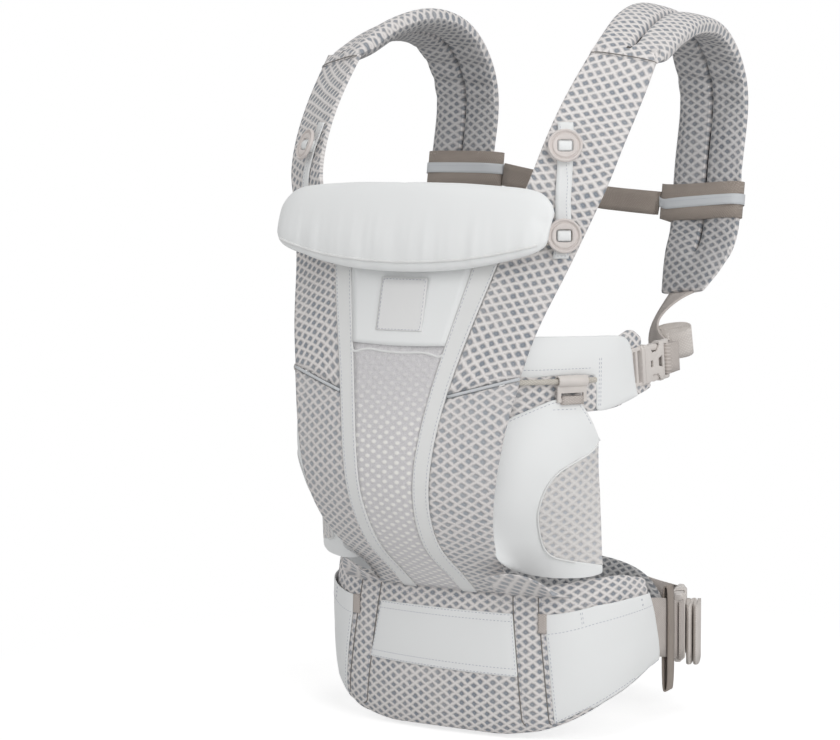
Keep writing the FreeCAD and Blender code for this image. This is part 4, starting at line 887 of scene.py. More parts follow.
# ---- surfaces and stitching
class Surface:
    """The outside of finished pieces, on which seams and trims are laid."""

    def __init__(self, *pieces: Piece) -> None:
        """Reads the pieces as they are shown."""
        bpy.context.view_layer.update()
        graph = bpy.context.evaluated_depsgraph_get()
        points: list[Vector] = []
        faces: list[list[int]] = []
        for piece in pieces:
            shown = piece.evaluated_get(graph)
            mesh = shown.to_mesh()
            base = len(points)
            points += [v.co.copy() for v in mesh.vertices]
            faces += [[base + i for i in p.vertices] for p in mesh.polygons]
            shown.to_mesh_clear()
        self.tree = BVHTree.FromPolygons(points, faces)

    def nearest(self, point: Vector) -> tuple[Vector, Vector]:
        """The nearest point of the surface to a point in millimetres, in metres, and the normal there."""
        where, normal, _, _ = self.tree.find_nearest(point * MM)
        return where, normal

    def cast(self, point: Vector, direction: Vector, reach: float = 160.0) -> tuple[Vector, Vector] | None:
        """Throws a point on to the surface.

        Args:
            point: Where the ray starts, in millimetres.
            direction: Where it goes.
            reach: How far it goes, in millimetres.

        Returns:
            The first point that it meets, in metres, and the normal there, or none.
        """
        where, normal, _, _ = self.tree.ray_cast(point * MM, direction, reach * MM)
        if where is None:
            return None
        return where, (normal if normal.dot(direction) < 0 else -normal)

    def land(self, point: Vector, direction: Vector, reach: float = 160.0) -> tuple[Vector, Vector]:
        """The point that a ray meets, or the nearest one if it misses."""
        return self.cast(point, direction, reach) or self.nearest(point)


@dataclass
class Stitching:
    """Rows of thread stitches, gathered into one piece for each body."""

    name: str
    body: str = "carrier"
    finish: Finish = THREAD
    pitch: float = 3.2
    length: float = 2.3
    width: float = 0.55
    lift: float = 0.05             # how far the thread stands off the cloth
    rows: list[bpy.types.Mesh] = field(default_factory=list)
    count: int = 0

    def row(self, surface: Surface, line: Sequence[Vector], look: Vector | None = None) -> None:
        """Sews along a line.

        Args:
            surface: What is sewn.
            line: Points in millimetres near the surface.
            look: The direction in which the line is thrown on to the surface, or none to drop it there.
        """
        points = [Vector(p) for p in line]
        gaps = [0.0]
        for a, b in zip(points, points[1:]):
            gaps.append(gaps[-1] + (b - a).length)
        flat = np.array([tuple(p) for p in points])
        total = gaps[-1]
        steps = max(2, int(total / self.pitch))
        spots = []
        for k in range(steps + 1):
            target = total * k / steps
            point = Vector([np.interp(target, gaps, flat[:, i]) for i in range(3)])
            spots.append(surface.cast(point - look * 40, look) if look else surface.nearest(point))
        sewn = bmesh.new()
        size = Matrix.Diagonal((self.length * MM / 2, self.width * MM / 2, self.width * MM / 2, 1.0))
        for start, end in zip(spots, spots[1:]):
            if start is None or end is None:
                continue
            (a, normal), (b, _) = start, end
            run = b - a
            if run.length < 1e-5 or run.length > 3 * self.pitch * MM:
                continue
            along = run.normalized()
            side = normal.cross(along).normalized()
            up = along.cross(side)
            middle = (a + b) / 2 + up * (self.lift * MM)
            turn = Matrix((along, side, up)).transposed().to_4x4()
            bmesh.ops.create_uvsphere(
                sewn, u_segments=5, v_segments=3, radius=1.0,
                matrix=Matrix.Translation(middle) @ turn @ size @ Matrix.Rotation(math.pi / 2, 4, "Y"),
            )
            self.count += 1
        self.rows.append(baked(sewn, "row"))

    def finish_piece(self) -> Piece:
        """Makes the piece of all rows sewn so far."""
        LOG.info("%s: %d stitches", self.name, self.count)
        whole = bmesh.new()
        for row in self.rows:
            whole.from_mesh(row)
            bpy.data.meshes.remove(row)
        return make_piece(Shape(self.name, self.finish, body=self.body), whole)


# ---- waist ring
@dataclass
class WaistRing:
    """The wearer's waist as tangent arcs, read by the length run from the front middle."""

    half_width: float = 134.0
    front_y: float = -107.0
    front_radius: float = 405.9
    turns: tuple[tuple[float, float], ...] = ((12.0, 60.0), (80.0, 197.0), (108.0, 58.0), (154.0, 215.85))

    def __post_init__(self) -> None:
        """Samples both sides of the ring at every degree of heading."""
        starts = [0.0] + [t[0] for t in self.turns] + [180.0]
        radii = [self.front_radius] + [t[1] for t in self.turns]
        centre = Vector((0, self.front_y + self.front_radius, 0))
        rows = []
        for k, radius in enumerate(radii):
            if k:
                centre = rows[-1][1] - self.normal(starts[k]) * radius
            for heading in np.arange(starts[k] + (0 if k == 0 else 1), starts[k + 1] + 0.5, 1.0):
                rows.append((float(heading), centre + self.normal(heading) * radius))
        right = np.array([(h, p.x, p.y) for h, p in rows])
        left = right[:0:-1] * np.array([-1, -1, 1])
        table = np.vstack([left, right])
        steps = np.linalg.norm(np.diff(table[:, 1:], axis=0), axis=1)
        length = np.concatenate([[0], np.cumsum(steps)])
        self.heading = table[:, 0]
        self.run = length - length[len(left)]
        self.xy = table[:, 1:]

    @staticmethod
    def normal(heading: float) -> Vector:
        """The outward direction at a heading."""
        return Vector((math.sin(math.radians(heading)), -math.cos(math.radians(heading)), 0))

    def at(self, run: float, offset: float, z: float) -> Vector:
        """A point at a length from the front middle, an offset from the ring and a height."""
        heading = float(np.interp(run, self.run, self.heading))
        x, y = (float(np.interp(run, self.run, self.xy[:, i])) for i in (0, 1))
        return Vector((x, y, z)) + self.normal(heading) * offset

    def out(self, run: float) -> Vector:
        """The outward direction at a length from the front middle."""
        return self.normal(float(np.interp(run, self.run, self.heading)))

    def run_at_x(self, x: float, offset: float) -> float:
        """Where the right front part of the ring, widened by an offset, is at x."""
        runs = np.linspace(0, 260, 521)
        return float(np.interp(x, [self.at(r, offset, 0).x for r in runs], runs))

    def run_at_y(self, y: float, offset: float) -> float:
        """Where the right side of the ring, widened by an offset, is at y."""
        runs = np.linspace(60, 330, 541)
        return float(np.interp(y, [self.at(r, offset, 0).y for r in runs], runs))

    def run_at_heading(self, heading: float) -> float:
        """The length run at a heading."""
        return float(np.interp(heading, self.heading, self.run))


RING = WaistRing()


@dataclass
class Waistband:
    """The padded belt, its seams, hook-and-loop patch, side pockets and corner tabs."""

    middle: float = 6.5
    half_thick: float = 6.6
    lower: tuple = ((-135, 0), (-110, 0), (-97, 12), (-75, 27), (-49, 39), (-14, 54))
    upper: tuple = ((-140, 121), (-132, 120), (-122, 120.5), (-110, 124), (-86, 132.5), (-60, 134.5),
                    (-30, 128))
    pocket_top: tuple = ((-135, 100), (-110, 103.5), (-86, 111.5), (-60, 114.5), (-26, 116))
    patch_half: float = 68.0
    patch_z: tuple[float, float] = (53.0, 103.0)
    seam_x: tuple[float, float] = (70.0, 92.5)
    pocket_x: float = 97.0
    flare: dict = field(default_factory=lambda: {Side.RIGHT: (-3.5, 5.5), Side.LEFT: (-5.0, 14.0)})
    tall: float = 113.0
    hem_z: float = 112.5           # where the top hem's stitches run
    gusset_crest: tuple = ((64, -154, 136), (80, -153, 141), (92, -149, 141), (102, -142, 137.5),
                           (109, -134, 131), (112, -127, 123))
    gusset_foot: float = 116.5
    gusset_start: float = 60.0
    gusset_reach: dict = field(default_factory=lambda: {Side.RIGHT: 52, Side.LEFT: 30})
    tab: tuple[float, float] = (6.0, 16.0)

    def edge(self, profile: tuple, y: float) -> float:
        """The height of an edge of the belt at y."""
        return float(np.interp(y, [p[0] for p in profile], [p[1] for p in profile]))

    def drift(self, side: Side, z: float) -> float:
        """How far the upright seams of a side stand outward at a height: they spread towards the hem."""
        top, bottom = self.flare[side]
        return bottom + (top - bottom) * min(max(z / self.tall, 0.0), 1.0)

    def build(self) -> None:
        """Makes every piece of the waistband."""
        low_end, top_end = RING.run_at_y(-8, self.middle), RING.run_at_y(-30, self.middle)
        rows = []
        for share in np.linspace(-1, 1, 33):
            low = RING.at(share * low_end, self.middle, 0)
            top = RING.at(share * top_end, self.middle, 0)
            low.z, top.z = self.edge(self.lower, low.y), self.edge(self.upper, top.y)
            rows.append(((low + top) / 2, (top - low).normalized(), (top - low).length / 2, self.half_thick))
        self.spine = Spine.of(rows, level=True)
        body = padded_body(self.spine, 150, 44, 3.0)
        self.belt = make_piece(Shape("waistband_padded_cover", SPACER, (
            "waistband_cover", "waistband_foam", "waistband_lining"), self.spine, fill=0.5), body)
        half_run = self.spine.length / 2
        seams = [half_run + sign * RING.run_at_x(x, 12) for sign in (-1, 1) for x in self.seam_x]

        def held(cloth: np.ndarray) -> np.ndarray:
            """The four upright seams are sewn down."""
            gap = np.min(np.abs(cloth[:, :1] - np.array(seams)[None]), axis=1)
            return np.exp(-(gap / 6.0) ** 2)

        puff(self.belt, self.spine, held, 2.5)
        self.press_seams(half_run)
        line_inside(self.belt, self.spine, LINING)
        subdivide(self.belt)
        self.surface = Surface(self.belt)
        self.trims()

    def press_seams(self, half_run: float) -> None:
        """Presses the four upright seams into the belt's face."""
        mesh = self.belt.data
        co = np.array([v.co for v in mesh.vertices])
        run = self.spine.measure(co)[:, 0] - half_run
        places = [RING.run_at_x(x, 12) for x in self.seam_x]
        for vertex, s in zip(mesh.vertices, run):
            side = Side.RIGHT if s > 0 else Side.LEFT
            for place in places:
                gap = abs(abs(s) - place - self.drift(side, vertex.co.z / MM))
                if gap < 8:
                    out = RING.out(s)
                    outer = (vertex.co / MM - RING.at(s, self.middle, vertex.co.z / MM)).dot(out) > 0
                    vertex.co -= out * (MM * 1.3 * math.exp(-(gap / 2.2) ** 2) * outer)
        mesh.update()

    def on_belt(self, run: float, z: float, lift: float) -> Vector:
        """A point on the belt's face, lifted, in millimetres."""
        out = RING.out(run)
        where, _ = self.surface.land(RING.at(run, 45, z), -out, 80.0)
        return where / MM + out * lift

    def trims(self) -> None:
        """The patch, pockets, tabs and all belt stitching."""
        thread = Stitching("waistband_stitches")
        patch_run = RING.run_at_x(self.patch_half, 14)
        low, high = self.patch_z

        def edge_run(sign: int, z: float) -> float:
            """Where the patch ends on one side at a height."""
            lean = {1: (-0.6, 3.8), -1: (-4.5, 7.8)}[sign]
            return sign * (patch_run + lean[1] + (lean[0] - lean[1]) * (z - low) / (high - low))

        def place(u: float, v: float) -> Vector:
            """A point of the patch, which widens downward."""
            z = low - 3.0 * u + (high - low + 3.0 * u) * v
            left, right = edge_run(-1, z), edge_run(1, z)
            return self.on_belt(left + (right - left) * u, z, 1.3)

        made = make_piece(Shape("waistband_hook_patch", SHELL, ("waistband_patch",), thickness=1.2,
                                levels=1), grid_sheet(40, 14, place))
        surface = Surface(made)
        for v in (0.13, 0.87, 0.03, 0.97):
            thread.row(surface, [place(u, v) for u in np.linspace(0.015, 0.985, 24)])
        for u in (0.012, 0.988):
            thread.row(surface, [place(u, v) for v in (0.04, 0.35, 0.65, 0.96)])
        for side in Side:
            self.pocket(side, thread)
            self.gusset(side)
        for side in (Side.LEFT, Side.RIGHT):
            for x in self.seam_x:
                self.upright_seam(side, x, thread)
        thread.row(self.surface, [self.on_belt(run, self.hem_z, 0) for run in np.linspace(-150, 150, 40)])
        thread.finish_piece()

    def upright_seam(self, side: Side, x: float, thread: Stitching) -> None:
        """One seam across the belt's face, with a row of stitches beside it."""
        sign = side.value
        run = sign * RING.run_at_x(x, 12)
        line = [self.on_belt(run + sign * self.drift(side, z), z, 0) for z in np.linspace(3, 117, 14)]
        # The dark tube in the pressed seam is partly its thread and partly painted shade.
        make_piece(Shape(f"waistband_seam_{side.word[0]}{int(x)}", THREAD_AND_PAINTED_SHADE),
                   tube_mesh([p + RING.out(run) * 0.1 for p in line], 0.55, 6))
        thread.row(self.surface, [p + (RING.at(run + 2.4 * sign, 14, p.z) - RING.at(run, 14, p.z))
                                  for p in line])

    def gusset(self, side: Side) -> None:
        """The lower corner of the seat mesh, which flares out and is sewn to the belt's top edge."""
        start, reach = self.gusset_start, self.gusset_reach[side]

        def place(u: float, v: float) -> Vector:
            """A point of the gusset, from the belt up to its free edge."""
            run = RING.run_at_x(start + reach * u, 7)
            crown = Vector(smooth_line(self.gusset_crest, u))
            crown.x = start + (crown.x - start) * reach / self.gusset_reach[Side.RIGHT]
            swelled = RING.out(run) * (4.0 * math.sin(math.pi * v) * (1 - 0.5 * u))
            return side.turn(RING.at(run, 7, self.gusset_foot).lerp(crown, v) + swelled)

        cloth = Spine.through([((start + 10 * k, -150, 128), UP) for k in range(6)], side, level=True)
        make_piece(Shape(f"{side.word}_seat_gusset", SEAT_MESH, (), cloth, levels=1, thickness=1.6),
                   grid_sheet(18, 8, lambda u, v: place(u if side is Side.RIGHT else 1 - u, v)))

    def pocket(self, side: Side, thread: Stitching) -> None:
        """One side pocket with its hem, bar-tacks and tab."""
        sign = side.value
        start = RING.run_at_x(self.pocket_x, 14)
        low_end, top_end = RING.run_at_y(-9, 14), RING.run_at_y(-27, 14)

        def place(u: float, v: float, lift: float = 1.0) -> Vector:
            """A point of the pocket, which hangs a little slack in the middle."""
            end = low_end + (top_end - low_end) * v
            first = start + self.drift(side, 100.0 * v)
            run = first + (end - first) * u
            y = RING.at(run, 14, 0).y
            low, top = self.edge(self.lower, y) + 1.0, self.edge(self.pocket_top, y)
            z = low + (top - low) * v
            slack = 3.0 * math.sin(math.pi * u) ** 0.7 * max(0.0, v - 0.55) / 0.45
            bag = 2.0 * math.sin(math.pi * v) * math.sin(math.pi * u) ** 0.5
            crease = 1.1 * noise.noise(Vector((run / 26, z / 60, 3.0 * sign)))
            return side.turn(self.on_belt(run, min(z, 126), lift + slack + bag + crease))

        made = make_piece(
            Shape(f"{side.word}_side_pocket", SHELL, side.once("side_pockets"), thickness=1.1, levels=1),
            grid_sheet(44, 26, lambda u, v: place(u if sign > 0 else 1 - u, v)))
        surface = Surface(made)
        thread.row(surface, [place(u, 0.84, 2) for u in np.linspace(0.01, 0.99, 30)])
        for u in (0.27, 0.80):
            for shift in (0.0, 0.012):
                thread.row(surface, [place(u + shift, v, 2) for v in (0.86, 0.92, 0.985)])
        thread.row(surface, [place(0.018, v, 2) for v in np.linspace(0.02, 0.82, 20)])
        thread.row(surface, [place(u, 0.018, 2) for u in np.linspace(0.02, 0.98, 30)])
        width, height = self.tab
        edge = start + self.drift(side, 100) + 2.0
        tab = grid_sheet(4, 8, lambda u, v: side.turn(self.on_belt(
            edge - width + width * (u if sign > 0 else 1 - u), 104 - height * (1 - v), 1.6)))
        make_piece(Shape(f"{side.word}_pocket_tab", STRAP_WEB, side.once("pocket_tabs"), thickness=1.2), tab)


# ---- front panel
@dataclass
class PanelCloth:
    """The front panel's cloth, measured level across it and upwards along its bulging middle line."""

    middle: tuple = ((117, -117), (138, -155), (167, -190), (200, -210), (231, -214), (265, -208),
                     (297, -199), (341, -187), (382, -173), (410, -165), (440, -160))

    def measure(self, points: np.ndarray, _: bool = False) -> np.ndarray:
        """Cloth coordinates in millimetres of points in metres."""
        heights, depths = np.array(self.middle, float).T
        run = np.concatenate([[0.0], np.cumsum(np.hypot(np.diff(heights), np.diff(depths)))])
        return np.column_stack([points[:, 0] / MM, np.interp(points[:, 2] / MM, heights, run)])


@dataclass
class FrontPanel:
    """Window, yoke, label, bindings, side and seat panels, piping and lining."""

    inner_edge: tuple = ((124, 23), (153, 22), (200, 25), (231, 27.5), (265, 32.5), (300, 39), (341, 48.5),
                         (382, 58), (413, 64), (436, 70))
    outer_edge: tuple = ((124, 36), (153, 36), (200, 38.5), (231, 42), (265, 47), (300, 54), (341, 65),
                         (382, 77), (413, 84), (436, 91))
    front_y: float = -215.0        # a level out in front of the panel, from which lines are thrown on to it
    stitched: tuple[float, float] = (130.0, 434.0)
    label_half: float = 20.5
    label_z: tuple[float, float] = (337.5, 377.5)
    hem: tuple = ((-54, 326.5), (-47, 325.5), (-30, 321.5), (-12, 319.5), (8, 319), (28, 320.5), (46, 324),
                  (54, 326))
    strap_line: tuple = (
        ((78, -182, 296), (0.98, 0.15, -0.05)), ((96, -166, 341), (0.97, 0.22, -0.05)),
        ((110, -150, 390), (0.93, 0.36, -0.05)), ((123, -133, 440), (0.855, 0.52, 0)),
        ((130, -130, 456), (0.848, 0.53, 0)), ((135, -117, 486), (0.848, 0.53, 0)),
        ((139, -91, 524), (0.848, 0.53, 0)), ((140, -64, 555), (0.9, 0.44, 0)),
    )

    def build(self) -> None:
        """Makes every piece of the panel."""
        cloth = PanelCloth()
        window = soft_piece(Shape("window_ventilation_mesh", WINDOW, ("window_mesh",), cloth, 2))
        yoke = soft_piece(Shape("front_yoke_shell", SHELL, ("front_yoke",), cloth, 2))
        self.lift_hem(yoke)
        bindings = soft_piece(Shape("seat_binding_tapes", BINDING, ("seat_bindings",), cloth, 3))
        label = soft_piece(Shape("blank_woven_label", LABEL, ("blank_label",), cloth, 2))
        soft_piece(Shape("body_back_lining", LINING, ("body_lining",), cloth, 2))
        soft_piece(Shape("reflective_piping_cord", TAPE, ("reflective_piping",), cloth, 2), 70)
        for side in Side:
            spine, word = Spine.through(self.strap_line, side), side.word
            strap = soft_piece(Shape(f"{word}_side_mesh_panel", SPACER, (f"{word}_side_panel",), spine, 3))
            self.tuck_strap(strap)
            soft_piece(Shape(f"{word}_seat_mesh_panel", SEAT_MESH, (f"{word}_seat_panel",), cloth, 3))
        self.sew(window, bindings, label)

    def lift_hem(self, yoke: Piece) -> None:
        """Lets the yoke's lower edge stand a little off the window, in a slight wave."""
        low = min(vertex.co.z for vertex in yoke.data.vertices)
        for vertex in yoke.data.vertices:
            if vertex.co.z < low + 6 * MM:
                x = vertex.co.x / MM
                vertex.co.y -= (1.1 + 0.5 * math.sin(x / 14)) * MM
                vertex.co.z -= 1.6 * math.cos(x / 30) * MM

    def tuck_strap(self, strap: Piece) -> None:
        """Runs the flat strap's upper end on into the padded cover."""
        for vertex in strap.data.vertices:
            if vertex.co.z > 548 * MM:
                across = Vector((math.copysign(0.9, vertex.co.x), 0.44, 0))
                middle = Vector((math.copysign(140, vertex.co.x), -64, 555)) * MM
                vertex.co -= across * (0.14 * (vertex.co - middle).dot(across))
                vertex.co += Vector((0.2, 6.0, 6.8)) * MM

    def edge_line(self, edge: tuple, inset: float, side: Side) -> list[Vector]:
        """The line of stitches along an edge of a binding.

        Args:
            edge: The edge, as heights and distances from the middle.
            inset: How far the stitches are from it, outward.
            side: The binding's side.

        Returns:
            Points in front of the line.
        """
        heights = np.linspace(*self.stitched, 40)
        xs = np.interp(heights, [p[0] for p in edge], [p[1] for p in edge]) + inset
        return [side.turn((x, self.front_y, z)) for x, z in zip(xs, heights)]

    def sew(self, window: Piece, bindings: Piece, label: Piece) -> None:
        """Twin rows along the bindings, a row round the label and the bound hem at the top of the window."""
        look = Vector((0, 1, 0))
        thread = Stitching("front_panel_stitches")
        cloth = Surface(bindings)
        for side in (Side.LEFT, Side.RIGHT):
            thread.row(cloth, self.edge_line(self.inner_edge, 1.8, side), look)
            thread.row(cloth, self.edge_line(self.outer_edge, -1.8, side), look)
        face = Surface(label)
        half, (low, high) = self.label_half, self.label_z
        corners = [(-half, low), (half, low), (half, high), (-half, high), (-half, low)]
        thread.row(face, [Vector((x, self.front_y, z)) for x, z in corners], look)
        thread.finish_piece()
        mesh = Surface(window)
        line = []
        for x, z in self.hem:
            spot, normal = mesh.land(Vector((x, self.front_y, z)), look)
            line.append(spot / MM + normal * 0.2)
        make_piece(Shape("window_bound_hem", BINDING), tube_mesh(line, 1.1, 8))


# ---- shoulder straps
@dataclass
class ShoulderStrap:
    """One padded strap, parted into two tubes by a sewn channel.

    Each station has its centre, its direction across, and its shares of the width and the thickness. They run
    from the rear end up and over to the front. Each crease has its share of the length and its depth.
    """

    side: Side
    half_width: float = 32.0
    half_thick: float = 8.5
    channel: tuple[float, float] = (0.075, 0.978)
    stations: tuple = (
        ((123.5, 69, 359), (1, -0.12, 0.1), 0.68, 0.45), ((125.5, 86, 384), (1, 0, 0), 0.90, 0.85),
        ((127, 101, 412), (1, 0, 0), 1, 1), ((127, 109, 465), (1, 0, 0), 1, 1),
        ((127, 118, 522), (1, 0, 0), 1, 1), ((127, 105, 558), (0.99, 0, -0.06), 1, 1),
        ((128, 75, 583), (0.98, 0.02, -0.15), 1, 1), ((130.5, 34, 589.5), (0.95, 0.12, -0.25), 1, 1),
        ((135, -7, 580.5), (0.92, 0.27, -0.28), 0.97, 1),
        ((139, -41, 564.5), (0.90, 0.36, -0.22), 0.92, 0.94),
        ((140.4, -57, 558), (0.90, 0.34, -0.17), 0.88, 0.6),
        ((140.6, -63, 555), (0.90, 0.33, -0.16), 0.88, 0.32),
    )
    creases: tuple = ((0.44, 2.2), (0.485, 3.6), (0.54, 3.2), (0.60, 2.4), (0.80, 1.2))

    def build(self) -> None:
        """Makes the padded cover and its creases."""
        side = self.side
        self.spine = Spine.of([
            (side.turn(at), side.turn(across) * side.value, self.half_width * wide, self.half_thick * deep)
            for at, across, wide, deep in self.stations
        ])
        body = padded_body(self.spine, 104, 96, 2.6, channel=self.channel)
        nodes = (f"{side.word}_strap_pad", *side.once("strap_foams"))
        pad = make_piece(Shape(f"{side.word}_strap_padded_cover", SPACER, nodes, self.spine, fill=0.7), body)
        total = self.spine.length

        def held(cloth: np.ndarray) -> np.ndarray:
            """The middle channel and both ends are sewn down."""
            middle = np.exp(-(cloth[:, 0] / 3.0) ** 2)
            ends = np.exp(-(np.minimum(cloth[:, 1], total - cloth[:, 1]) / 6.0) ** 2)
            return np.maximum(middle, ends)

        puff(pad, self.spine, held, 2.0)
        self.fold_bend(pad)
        # The inner faces get the darker copy of the spacer mesh: painted shade on the same cloth.
        line_inside(pad, self.spine, SPACER_PAINTED_SHADE)
        self.shade_channel(pad)
        subdivide(pad)
        self.seam(pad)

    def shade_channel(self, pad: Piece) -> None:
        """The walls of the sewn channel, given a dark finish: painted shade for the shadow in the deep
        groove.
        """
        pad.data.materials.append(CHANNEL_PAINTED_SHADE.material())
        cloth = self.spine.measure(np.array([face.center for face in pad.data.polygons]))
        share = cloth[:, 1] / self.spine.length
        for face, across, along in zip(pad.data.polygons, cloth[:, 0], share):
            if abs(across) < 0.9 and 0.10 < along < self.channel[1]:
                face.material_index = 2

    def seam(self, pad: Piece) -> None:
        """The thread line where the padded cover is sewn to the flat strap, drawn dark: partly its thread,
        partly painted shade in the join.
        """
        surface = Surface(pad)
        line = []
        for share in np.linspace(-0.96, 0.96, 14):
            centre, across, out, half_width, _ = self.spine.at(0.999)
            spot, normal = surface.land(centre + across * (share * half_width) + out * 25, -out)
            line.append(spot / MM + normal * 0.1)
        make_piece(Shape(f"{self.side.word}_strap_front_seam", THREAD_AND_PAINTED_SHADE), tube_mesh(line, 0.45, 6))

    def fold_bend(self, pad: Piece) -> None:
        """Sinks the creases that form across the inside of the bend over the shoulder."""
        mesh = pad.data
        co = np.array([v.co for v in mesh.vertices])
        cloth = self.spine.measure(co)
        for vertex, (across, along) in zip(mesh.vertices, cloth):
            share = along / self.spine.length
            centre, _, out, _, thick = self.spine.at(min(max(share, 0.0), 1.0))
            height = (vertex.co / MM - centre).dot(out)
            if height > 0:
                continue
            depth = 0.0
            for where, deep in self.creases:
                gap = (share - where) * self.spine.length + 0.12 * across
                depth += deep * math.exp(-(gap / 3.2) ** 2)
            vertex.co += out * (depth * MM * min(1.0, -height / thick))
        mesh.update()


# ---- wings and leg panels
@dataclass
class Wing:
    """One side wing: white cover with its cuff, the mesh pad behind, the cord and the sliding hook."""

    side: Side
    centre: tuple[float, float] = (-9.17, -47.57)
    radius: float = 158.827
    first: tuple[float, float] = (102.0, -161.0)
    last: tuple[float, float] = (149.0, -62.0)
    low: tuple = ((-0.10, 300.5), (0.1, 301), (0.3, 302.4), (0.56, 301.5), (0.60, 298), (0.615, 286),
                  (0.62, 273.5), (0.70, 272.5), (0.80, 274.5), (0.93, 277.8), (1.035, 281))
    high: tuple = ((-0.10, 335), (0.15, 334.3), (0.35, 334), (0.55, 333.4), (0.75, 333), (0.88, 331.5),
                   (0.945, 327.5), (0.99, 319), (1.015, 305), (1.035, 292), (1.045, 284))
    pad_rows: tuple = ((-0.09, 261, 333, 2.0), (0.0, 261, 333, 2.8), (0.15, 265, 333, 3.0),
                       (0.35, 271, 333, 3.0), (0.55, 272, 332.5, 3.0), (0.75, 272.6, 332, 3.0),
                       (0.9, 275, 331, 2.6))
    cord_reach: tuple = (-0.03, 0.12, 0.27, 0.42, 0.57)
    cord_z: float = 298.5
    cord_radius: float = 2.3
    corners: tuple = (
        ("upper", ((0.86, 321.5), (1.0, 320), (1.13, 321)),
         ((0.86, 331.5), (1.0, 336), (1.08, 335), (1.135, 329))),
        ("lower", ((0.90, 278), (1.06, 280.5), (1.21, 283), (1.29, 286)),
         ((0.90, 290), (1.1, 292), (1.30, 290))),
    )

    def at(self, share: float, offset: float, z: float) -> Vector:
        """A point along the wing, which follows a level arc.

        Args:
            share: From 0 at the wing's start to 1 at its end.
            offset: How far the point is outside the arc.
            z: Its height.

        Returns:
            The point, on the right-hand side.
        """
        start, end = (math.atan2(y - self.centre[1], x - self.centre[0]) for x, y in (self.first, self.last))
        angle = start + (end - start) * share
        reach = self.radius + offset
        return Vector((self.centre[0] + reach * math.cos(angle), self.centre[1] + reach * math.sin(angle), z))

    def build(self) -> None:
        """Makes every piece of the wing."""
        side, word = self.side, self.side.word
        flip = side is Side.LEFT

        def cover(u: float, v: float) -> Vector:
            """A point of the white cover, tucked behind the side panel at its start."""
            share, z = between(self.low, self.high, 1 - u if flip else u, v)
            swell = 2.0 * math.sin(math.pi * v) ** 0.7
            fold = 0.7 * noise.noise(Vector((share * 6.0, z / 40, 7.0)))
            tuck = 12.0 * min(0.0, share)
            return side.turn(self.at(share, 0.9 + swell + fold + tuck, z))

        shell = make_piece(Shape(f"{word}_wing_cover", SHELL, (f"{word}_wing",), thickness=1.4, levels=1),
                           grid_sheet(60, 16, cover))
        rows = []
        for share, low_z, high_z, thick in self.pad_rows:
            middle = side.turn(self.at(share, -2.4 + 40 * min(0.0, share), (low_z + high_z) / 2))
            rows.append((middle, UP, (high_z - low_z) / 2, thick))
        if flip:
            rows.reverse()
        spine = Spine.of(rows, level=True)
        make_piece(Shape(f"{word}_wing_mesh_pad", SPACER, side.once("wing_pads"), spine, levels=1, fill=0.5),
                   padded_body(spine, 40, 24, 3.6))
        self.tabs()
        route = [side.turn(self.at(share, 6.6, self.cord_z)) for share in self.cord_reach]
        make_piece(Shape(f"{word}_wing_elastic_cord", CORD, side.once("wing_cords")),
                   tube_mesh(route, self.cord_radius, 14))
        thread = Stitching(f"{word}_wing_stitches")
        cloth = Surface(shell)
        thread.row(cloth, [side.turn(self.at(s, 4, 307.5)) for s in np.linspace(0.0, 0.56, 24)])
        for shift in (0.0, 0.017):
            thread.row(cloth, [side.turn(self.at(0.63 + shift, 4, z)) for z in np.linspace(276, 316, 12)])
        thread.finish_piece()
        hard_piece(f"{word}_leg_hook_moulding", f"{word}_leg_hook", f"{word}_hook", 0.5)
        soft_piece(Shape(f"{word}_leg_tab_webbing", STRAP_WEB, (f"{word}_leg_tab",), self.upright(), 2,
                         body=f"{word}_hook"), 60)

    def upright(self) -> Spine:
        """A short spine that runs straight up beside the hook."""
        across = (self.at(0.5, 0, 0) - self.at(0.3, 0, 0)).normalized()
        return Spine.through([(self.at(0.375, 6.6, z), across) for z in (270, 300)], self.side)

    def tabs(self) -> None:
        """The two corners of the pad that show behind the cuff, over and under the buckle."""
        side = self.side
        for name, low, high in self.corners:
            rows = []
            for share in np.linspace(0, 1, 7):
                a, b = smooth_line(low, share), smooth_line(high, share)
                middle = self.at((a[0] + b[0]) / 2, -2.3, (a[1] + b[1]) / 2)
                rows.append((side.turn(middle), UP, (b[1] - a[1]) / 2, 2.2))
            if side is Side.LEFT:
                rows.reverse()
            line = Spine.of(rows, level=True)
            make_piece(Shape(f"{side.word}_wing_pad_{name}_corner", SPACER, (), line, levels=1, fill=0.4),
                       padded_body(line, 12, 14, 3.0))


